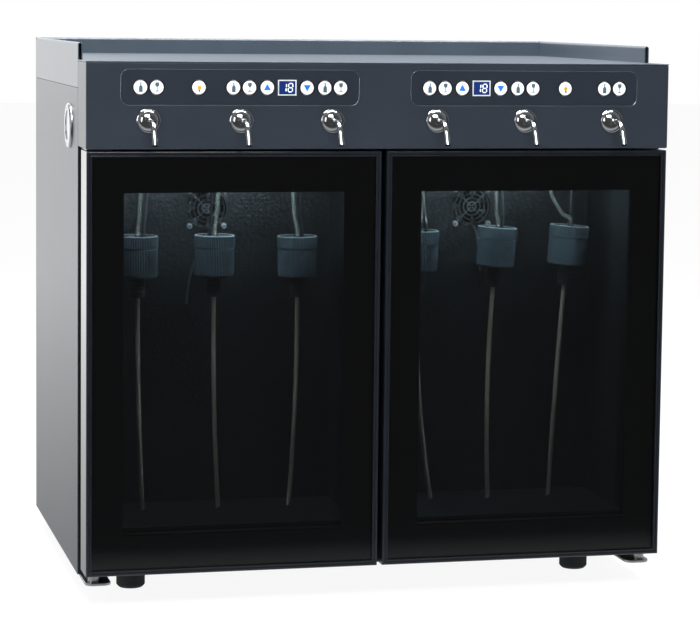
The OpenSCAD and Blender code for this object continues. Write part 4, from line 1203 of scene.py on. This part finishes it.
    def display(self, name: str, x: float) -> None:
        """Makes one display: surround, filter and two lit digits.

        Args:
            name: Name of the piece.
            x: Middle in X.
        """
        form = Form(SURROUND, FILTER, SEGMENT).at(Matrix.Translation((x, 0, self.panel_z)))
        w, h = self.display_w / 2, self.display_h / 2
        form.picture_frame((-w, -h), (w, h), [(0, 1.2), (0, 0.35), (0.3, 0.1), (0.9, 0.1), (1.25, 0.35),
                                              (1.3, 1.2)])
        form.use(1).box((-w + 1.2, 0.55, -h + 1.2), (w - 1.2, 1.2, h - 1.2), 0.1)
        form.use(2)
        for digit, middle in (("1", -3.4), ("8", 3.6)):
            self.digit(form, digit, middle)
        form.piece(name, "cabinet", slot="board")

    def digit(self, form: Form, digit: str, x: float) -> None:
        """Draws one seven-segment digit.

        Args:
            form: Form that takes it.
            digit: The digit.
            x: Its middle in X.
        """
        lit = {"1": "bc", "8": "abcdefg"}[digit]
        w, h, t = 2.3, 4.5, 0.55
        bars = {"a": (0, h, 1), "b": (w, h / 2, 0), "c": (w, -h / 2, 0), "d": (0, -h, 1),
                "e": (-w, -h / 2, 0), "f": (-w, h / 2, 0), "g": (0, 0, 1)}
        for key in lit:
            a, b, flat = bars[key]
            half = (w if flat else h / 2) - 0.35
            dx, dz = (half, t) if flat else (t, half)
            lean = 0.1 * b
            long = [(-dx, 0), (-dx + t, -dz), (dx - t, -dz), (dx, 0), (dx - t, dz), (-dx + t, dz)]
            tall = [(0, -dz), (dx, -dz + t), (dx, dz - t), (0, dz), (-dx, dz - t), (-dx, -dz + t)]
            shape = [(x + a + lean + p, b + q) for p, q in (long if flat else tall)]
            form.slab(shape, 0.48, 0.6)

    def spout(self, name: str, x: float) -> None:
        """Makes one pouring spout with its domed rosette.

        Args:
            name: Name of the piece.
            x: Middle in X.
        """
        form = Form(CHROME).at(Matrix.Translation((x, 0, self.spout_z)))
        bend, run = self.spout_bend, self.spout_run
        path: list[Point] = [(0, 60, 0), (0, 0, 0), (0, -run * 0.5, 0), (0, -run, 0)]
        for k in range(1, 15):
            a = math.radians(self.spout_angle) * k / 14
            path.append((0, -run - bend * math.sin(a), -bend + bend * math.cos(a)))
        end, a = path[-1], math.radians(self.spout_angle)
        for share in (0.5, 1.0):
            d = self.spout_leg * share
            path.append((0, end[1] - d * math.cos(a), end[2] - d * math.sin(a)))
        form.tube(path, self.spout_d / 2, 28, self.spout_bore / 2)
        r, h = self.rosette_d / 2, self.rosette_h
        dome = (r * r + h * h) / 2 / h
        profile = [(4.8, -2), (r - 0.5, -0.0), (r, 0.25), (r, 0.9)]
        for k in range(1, 13):
            z = 0.9 + (h - 2.0) * k / 12
            profile.append((math.sqrt(max(dome * dome - (z + dome - h) ** 2, 1.0)) - 0.1, z))
        profile += [(4.6, h - 0.9), (4.4, h - 0.2), (4.0, h), (3.1, h)]
        form.at(facing(x, 0, self.spout_z)).turned(profile, 64)
        form.turned([(7, -6), (7, -2), (4.8, -2)], 6)
        form.piece(name, "cabinet", ["pour_spouts"], "chrome", sharp=40)


@dataclass
class Door:
    """A glazed door: folded frame, two panes, printed border, spacer, inner frame and gasket."""

    side: int
    half_w: float = 325.0
    inset: float = 0.6
    width: float = 321.5
    low: float = 35.9
    high: float = 492.3
    wall: float = 2.0
    deep: float = 42.0
    pin_in: float = 12.0
    pin_back: float = 30.0
    pane: float = 4.0
    pane_y: float = 2.4
    gap: float = 12.0
    block: float = 14.0
    border: Point = (40.4, 42.1, 44.3)
    seal_insets: tuple = (12.5, 1.5, 24.0, 6.0)
    name: str = field(init=False)

    def __post_init__(self) -> None:
        """Names the door after its side."""
        self.name = "left_door" if self.side == LEFT else "right_door"

    def span(self, hinge: float, free: float) -> Pair:
        """X from and to of something at given insets from the hinge edge and the free edge."""
        a = self.side * (self.half_w - self.inset - hinge)
        b = self.side * (self.half_w - self.inset - self.width + free)
        return min(a, b), max(a, b)

    def build(self) -> None:
        """Makes the door's pieces."""
        self.frame_piece()
        self.glazing()
        softened(self.name + "_inner_frame", self.name, BLACK_ABS, 0.6)
        self.gasket()

    def frame_piece(self) -> None:
        """Makes the folded frame with its rounded rim, groove and lip."""
        x0, x1 = self.span(0, 0)
        form = Form(POWDER_DOOR)
        t = self.wall
        section = [(0, self.deep), (0, 1.5), (0.12, 0.9), (0.45, 0.4), (0.95, 0.1), (1.6, 0),
                   (2.5, 0.02), (2.95, 0.2), (3.15, 0.6), (3.3, 1.1), (4.1, 1.1), (4.25, 0.6),
                   (4.45, 0.15), (4.8, 0), (5.5, 0), (5.85, 0.15), (6, 0.5), (6, 2.4), (t, 2.4),
                   (t, self.deep - 1.5), (8, self.deep - 1.5), (8, self.deep)]
        form.picture_frame((x0, self.low), (x1, self.high), section)
        half = self.block / 2
        a, b = self.span(1, self.width - self.pin_in - half)
        for z0, z1 in ((self.low, self.low + self.block), (self.high - self.block, self.high)):
            form.box((a, self.pin_back - half, z0 + 0.01), (b, self.pin_back + half, z1 - 0.01), 1.0)
        form.piece(self.name + "_folded_frame", self.name, [self.name + "_frame"], "powder_coat", 24)

    def glazing(self) -> None:
        """Makes the panes, the printed border and the spacer."""
        a = self.wall + 0.3
        x0, x1 = self.span(a, a)
        z0, z1 = self.low + a, self.high - a
        y = self.pane_y
        back = y + 2 * self.pane + self.gap
        glass = Form(GLASS)
        glass.box((x0, y + 0.01, z0), (x1, y + self.pane, z1), 0.5)
        glass.box((x0, back - self.pane, z0), (x1, back, z1), 0.5)
        glass.piece(self.name + "_panes", self.name, [self.name + "_glass"], "glass", 3)
        ink = Form(ENAMEL)
        wide, low, high = self.border
        w0, w1 = self.span(wide, wide)
        y += self.pane
        outer = [(x0 + 0.2, z0 + 0.2), (x1 - 0.2, z0 + 0.2), (x1 - 0.2, z1 - 0.2), (x0 + 0.2, z1 - 0.2)]
        h0, h1 = self.low + low, self.high - high
        inner = [(w0, h0), (w1, h0), (w1, h1), (w0, h1)]
        ink.skin([[(x, y + deep, z) for x, z in loop]
                  for deep, loop in ((0.02, outer), (0.02, inner), (0.16, inner), (0.16, outer))],
                 close=True)
        ink.piece(self.name + "_printed_border", self.name, slot="glass")
        bar = Form(SPACER)
        ring = [(6, y + 0.3), (6, y + self.gap - 0.3), (6.6, y + self.gap), (13.2, y + self.gap),
                (14, y + self.gap - 0.8), (14, y + 0.8), (13.2, y + 0.25), (6.6, y + 0.25)]
        bar.picture_frame((x0, z0), (x1, z1), ring)
        bar.piece(self.name + "_spacer", self.name, slot="glass")

    def gasket(self) -> None:
        """Makes the gasket with its bellows folds."""
        hinge, free, low, high = self.seal_insets
        x0, x1 = self.span(hinge, free)
        form = Form(GASKET)
        form.picture_frame((x0, self.low + low), (x1, self.high - high), [
            (0.6, 56.0), (7.4, 56.0), (7.6, 56.8), (6.6, 58.2), (7.6, 59.6), (6.8, 61.0), (8, 62.0),
            (8, 63.6), (7.2, 64.7), (0.8, 64.7), (0, 63.6), (0, 62.0), (1.2, 61.0), (0.4, 59.6),
            (1.4, 58.2), (0.4, 56.8)])
        form.piece(self.name + "_bellows_gasket", self.name, [self.name + "_gasket"], "gasket", 60)


@dataclass
class Services:
    """Screws, rear fan, connectors and what is hidden inside."""

    half_w: float = 325.0
    rear_y: float = 458.2
    foot_h: float = 25.0
    exhaust_z: float = 330.0
    exhaust_bore: float = 112.0
    exhaust_pitch: float = 105.0
    wire: float = 1.6
    gas_x: float = -280.0
    inlet_z: float = 100.0
    head_d: float = 6.0
    rear_inset: float = 7.0
    rear_low: float = 30.0
    rear_step: float = 115.0
    under_inset: float = 17.0
    under_ys: Pair = (105.0, 85.0)
    upper_x: float = 312.4
    upper_z: float = 496.7
    upper_ys: Pair = (46.0, 58.0)

    def build(self, chambers: Chambers, shell: Shell) -> None:
        """Makes the pieces and dresses what stays.

        Args:
            chambers: Gives the guards of the fans.
            shell: Gives the place of the port cover.
        """
        dress("cooling_units", EXTRUDED)
        dress("valve_block", STAINLESS)
        dress("exhaust_fan_rotor", FAN_PBT)
        softened("power_supply", "cabinet", EXTRUDED, 0.6)
        softened("rear_connectors", "cabinet", BLACK_ABS, 0.5)
        chambers.guard("exhaust_fan_guard", (0, self.rear_y, self.exhaust_z),
                       [k * self.exhaust_bore / 10.4 for k in (1, 2, 3, 4, 5)], self.exhaust_pitch, True)
        self.collet()
        self.screws(chambers, shell)

    def collet(self) -> None:
        """Makes the push-in collet of the gas inlet."""
        turn = Matrix.Rotation(math.radians(-90), 4, "X")
        form = Form(SLATE_INK)
        form.at(Matrix.Translation((self.gas_x, self.rear_y + 5, self.inlet_z)) @ turn)
        form.turned([(4.1, -6), (4.3, -6), (4.3, -0.6), (5.6, -0.5), (5.8, -0.25), (5.6, 0), (4.5, 0),
                     (4.1, -0.4)], 40, cap=False)
        form.piece("gas_inlet_collet", "cabinet", slot="black_plastic")

    def head(self, form: Form, spot: Point, turn: Matrix, shank: float) -> None:
        """Draws one pan-head screw whose hex recess is a dark hex of painted shade.

        Args:
            form: Form that takes it.
            spot: Middle of the head's seat.
            turn: Turn that brings local Z out of the surface.
            shank: Length of the shank.
        """
        r = self.head_d / 2
        form.at(Matrix.Translation(spot) @ turn)
        form.turned([(1.2, -shank), (1.5, -shank + 0.4), (1.5, 0.0), (r - 0.1, 0.0), (r, 0.3),
                     (r - 0.15, 0.9), (r - 0.55, 1.45), (r - 1.1, 1.8), (0.95, 1.98)], 24)
        # A dark hex of painted shade stands for the hex recess
        form.use(1).turned([(0.9, 1.9), (0.8, 2.0)], 6)
        form.use(0)

    def screws(self, chambers: Chambers, shell: Shell) -> None:
        """Makes all visible screws.

        Args:
            chambers: Gives the places of the fans.
            shell: Gives the place of the port cover.
        """
        form = Form(SCREW, GAP_SHADE)
        near, far, under, above = (Matrix.Rotation(math.radians(a), 4, "X") for a in (90, -90, 180, 0))
        half = chambers.fan_pitch / 2
        for side in SIDES:
            for x in SIDES:
                for z in SIDES:
                    spot = (side * chambers.chamber_x + x * half, chambers.back_y - chambers.wire,
                            chambers.fan_z + z * half)
                    self.head(form, spot, near, 15)
        for x in SIDES:
            for z in SIDES:
                spot = (x * self.exhaust_pitch / 2, self.rear_y + self.wire,
                        self.exhaust_z + z * self.exhaust_pitch / 2)
                self.head(form, spot, far, 24)
            for k in range(5):
                spot = (x * (self.half_w - self.rear_inset), self.rear_y,
                        self.foot_h + self.rear_low + k * self.rear_step)
                self.head(form, spot, far, 8)
            for y in self.under_ys:
                self.head(form, (x * (self.half_w - self.under_inset), y, self.foot_h - 3), under, 4)
            for y in self.upper_ys:
                self.head(form, (x * self.upper_x, y, self.upper_z), above, 4)
        left = Matrix.Rotation(math.radians(-90), 4, "Y")
        for z in SIDES:
            spot = (-shell.half_w - shell.cover_t + 0.4, shell.cover_y,
                    shell.cover_z + z * (shell.cover_d / 2 - 5.5))
            form.at(Matrix.Translation(spot) @ left)
            form.turned([(1.5, -3.5), (1.5, -1), (2.3, -0.3), (2.3, 0.2), (1.9, 0.4), (1.2, 0.4)], 24)
        form.piece("screw_heads", "cabinet", ["screws"], "zinc")


@dataclass
class Studio:
    """White surroundings, a pale floor and soft lamps."""

    lamps: tuple = (
        ("key", (-0.7, -2.3, 2.6), (1.8, 0.9), 66.0),
        ("strip", (-2.6, -1.5, 1.0), (0.35, 1.5), 9.0),
        ("top", (0.0, 0.05, 1.9), (1.6, 0.5), 70.0))
    floor_half: float = 14.0
    floor_white: float = 1.15
    floor_mirror: float = 2.0
    camera_share: float = 0.8
    sheen: tuple = ((0.0, 0.03), (0.417, 0.03), (0.453, 0.25), (0.533, 0.34), (0.667, 0.5), (1.0, 0.82))

    def build(self) -> None:
        """Makes the world, the floor and the lamps."""
        bpy.context.scene.view_settings.view_transform = "Standard"
        self.world()
        self.floor()
        for name, place, size, power in self.lamps:
            data = bpy.data.lights.new(name, "AREA")
            data.shape = "RECTANGLE"
            data.size, data.size_y = size
            data.energy = power
            lamp = placed(name, data)
            lamp.location = place
            lamp.rotation_mode = "QUATERNION"
            aim = Vector((0, 0, 0.3)) - Vector(place)
            lamp.rotation_quaternion = aim.to_track_quat("-Z", "Y")

    def world(self) -> None:
        """Makes surroundings that are white behind and beside the object and dim in front."""
        made = bpy.data.worlds.new("studio")
        bpy.context.scene.world = made
        made.use_nodes = True
        tree = made.node_tree
        tree.nodes.clear()
        way = add(tree, "SeparateXYZ", {"Vector": add(tree, "TexCoord").outputs["Generated"]})
        back = add(tree, "MapRange", {"Value": way.outputs["Y"]}, From_Min=-0.7, From_Max=0.8,
                   To_Min=0.065, To_Max=0.36)
        aside = add(tree, "Math", {0: way.outputs["X"]}, operation="ADD")
        aside.inputs[1].default_value = 0.13
        aside = add(tree, "Math", {0: aside.outputs["Value"]}, operation="ABSOLUTE")
        left = add(tree, "MapRange", {"Value": aside.outputs["Value"]}, From_Min=0.12, From_Max=0.3,
                   To_Min=1.6, To_Max=0.0)
        rear = add(tree, "MapRange", {"Value": way.outputs["Y"]}, From_Min=0.5, From_Max=0.9)
        soft = add(tree, "Math", {0: left.outputs["Result"], 1: rear.outputs["Result"],
                                  2: back.outputs["Result"]}, operation="MULTIPLY_ADD")
        rays = add(tree, "LightPath")
        level = add(tree, "MixRGB", {0: rays.outputs["Is Camera Ray"], 1: soft.outputs["Value"]})
        level.inputs[2].default_value = (1, 1, 1, 1)
        sky = add(tree, "Background", {"Color": level.outputs["Color"]})
        add(tree, "OutputWorld", {"Surface": sky.outputs["Background"]})

    def floor(self) -> None:
        """Makes the floor, which shows white with a faint shadow."""
        mesh = bpy.data.meshes.new("floor")
        half = self.floor_half
        mesh.from_pydata([(-half, -half, 0), (half, -half, 0), (half, half, 0), (-half, half, 0)], [],
                         [(0, 1, 2, 3)])
        made = placed("floor", mesh)
        paint, tree = blank("studio_floor")
        way = add(tree, "SeparateXYZ", {"Vector": add(tree, "TexCoord").outputs["Object"]})
        rays = add(tree, "LightPath")
        along = add(tree, "MapRange", {"Value": way.outputs["Y"]}, From_Min=-3.0, From_Max=3.0)
        tones = add(tree, "ValToRGB", {"Fac": along.outputs["Result"]})
        stops = tones.color_ramp.elements
        for stop, (position, level) in zip(stops, (self.sheen[0], self.sheen[-1])):
            stop.position, stop.color = position, (level, level, level, 1)
        for position, level in self.sheen[1:-1]:
            stops.new(position).color = (level, level, level, 1)
        matt = add(tree, "BsdfDiffuse", Color=(0.8, 0.8, 0.8, 1))
        mirrored = add(tree, "Emission", {"Color": tones.outputs["Color"]}, Strength=self.floor_mirror)
        white = add(tree, "Emission", Strength=self.floor_white)
        seen = add(tree, "MixShader", {
            0: rays.outputs["Is Glossy Ray"], 1: matt.outputs["BSDF"], 2: mirrored.outputs["Emission"]})
        share = add(tree, "Math", {0: rays.outputs["Is Camera Ray"]}, operation="MULTIPLY")
        share.inputs[1].default_value = self.camera_share
        both = add(tree, "MixShader", {
            0: share.outputs["Value"], 1: seen.outputs["Shader"], 2: white.outputs["Emission"]})
        add(tree, "OutputMaterial", {"Surface": both.outputs["Shader"]})
        mesh.materials.append(paint)


def main() -> None:
    """Builds the camera, the cords and then every sub-assembly."""
    logging.basicConfig(level=logging.INFO, format="%(message)s")
    Viewpoint().build()
    hanging = Hanging()
    hanging.build_cords()
    shell = Shell()
    shell.build()
    chambers = Chambers()
    chambers.build()
    Head().build()
    for side in SIDES:
        Door(side).build()
    hanging.build()
    Services().build(chambers, shell)
    Studio().build()


if __name__ == "__main__":
    main()
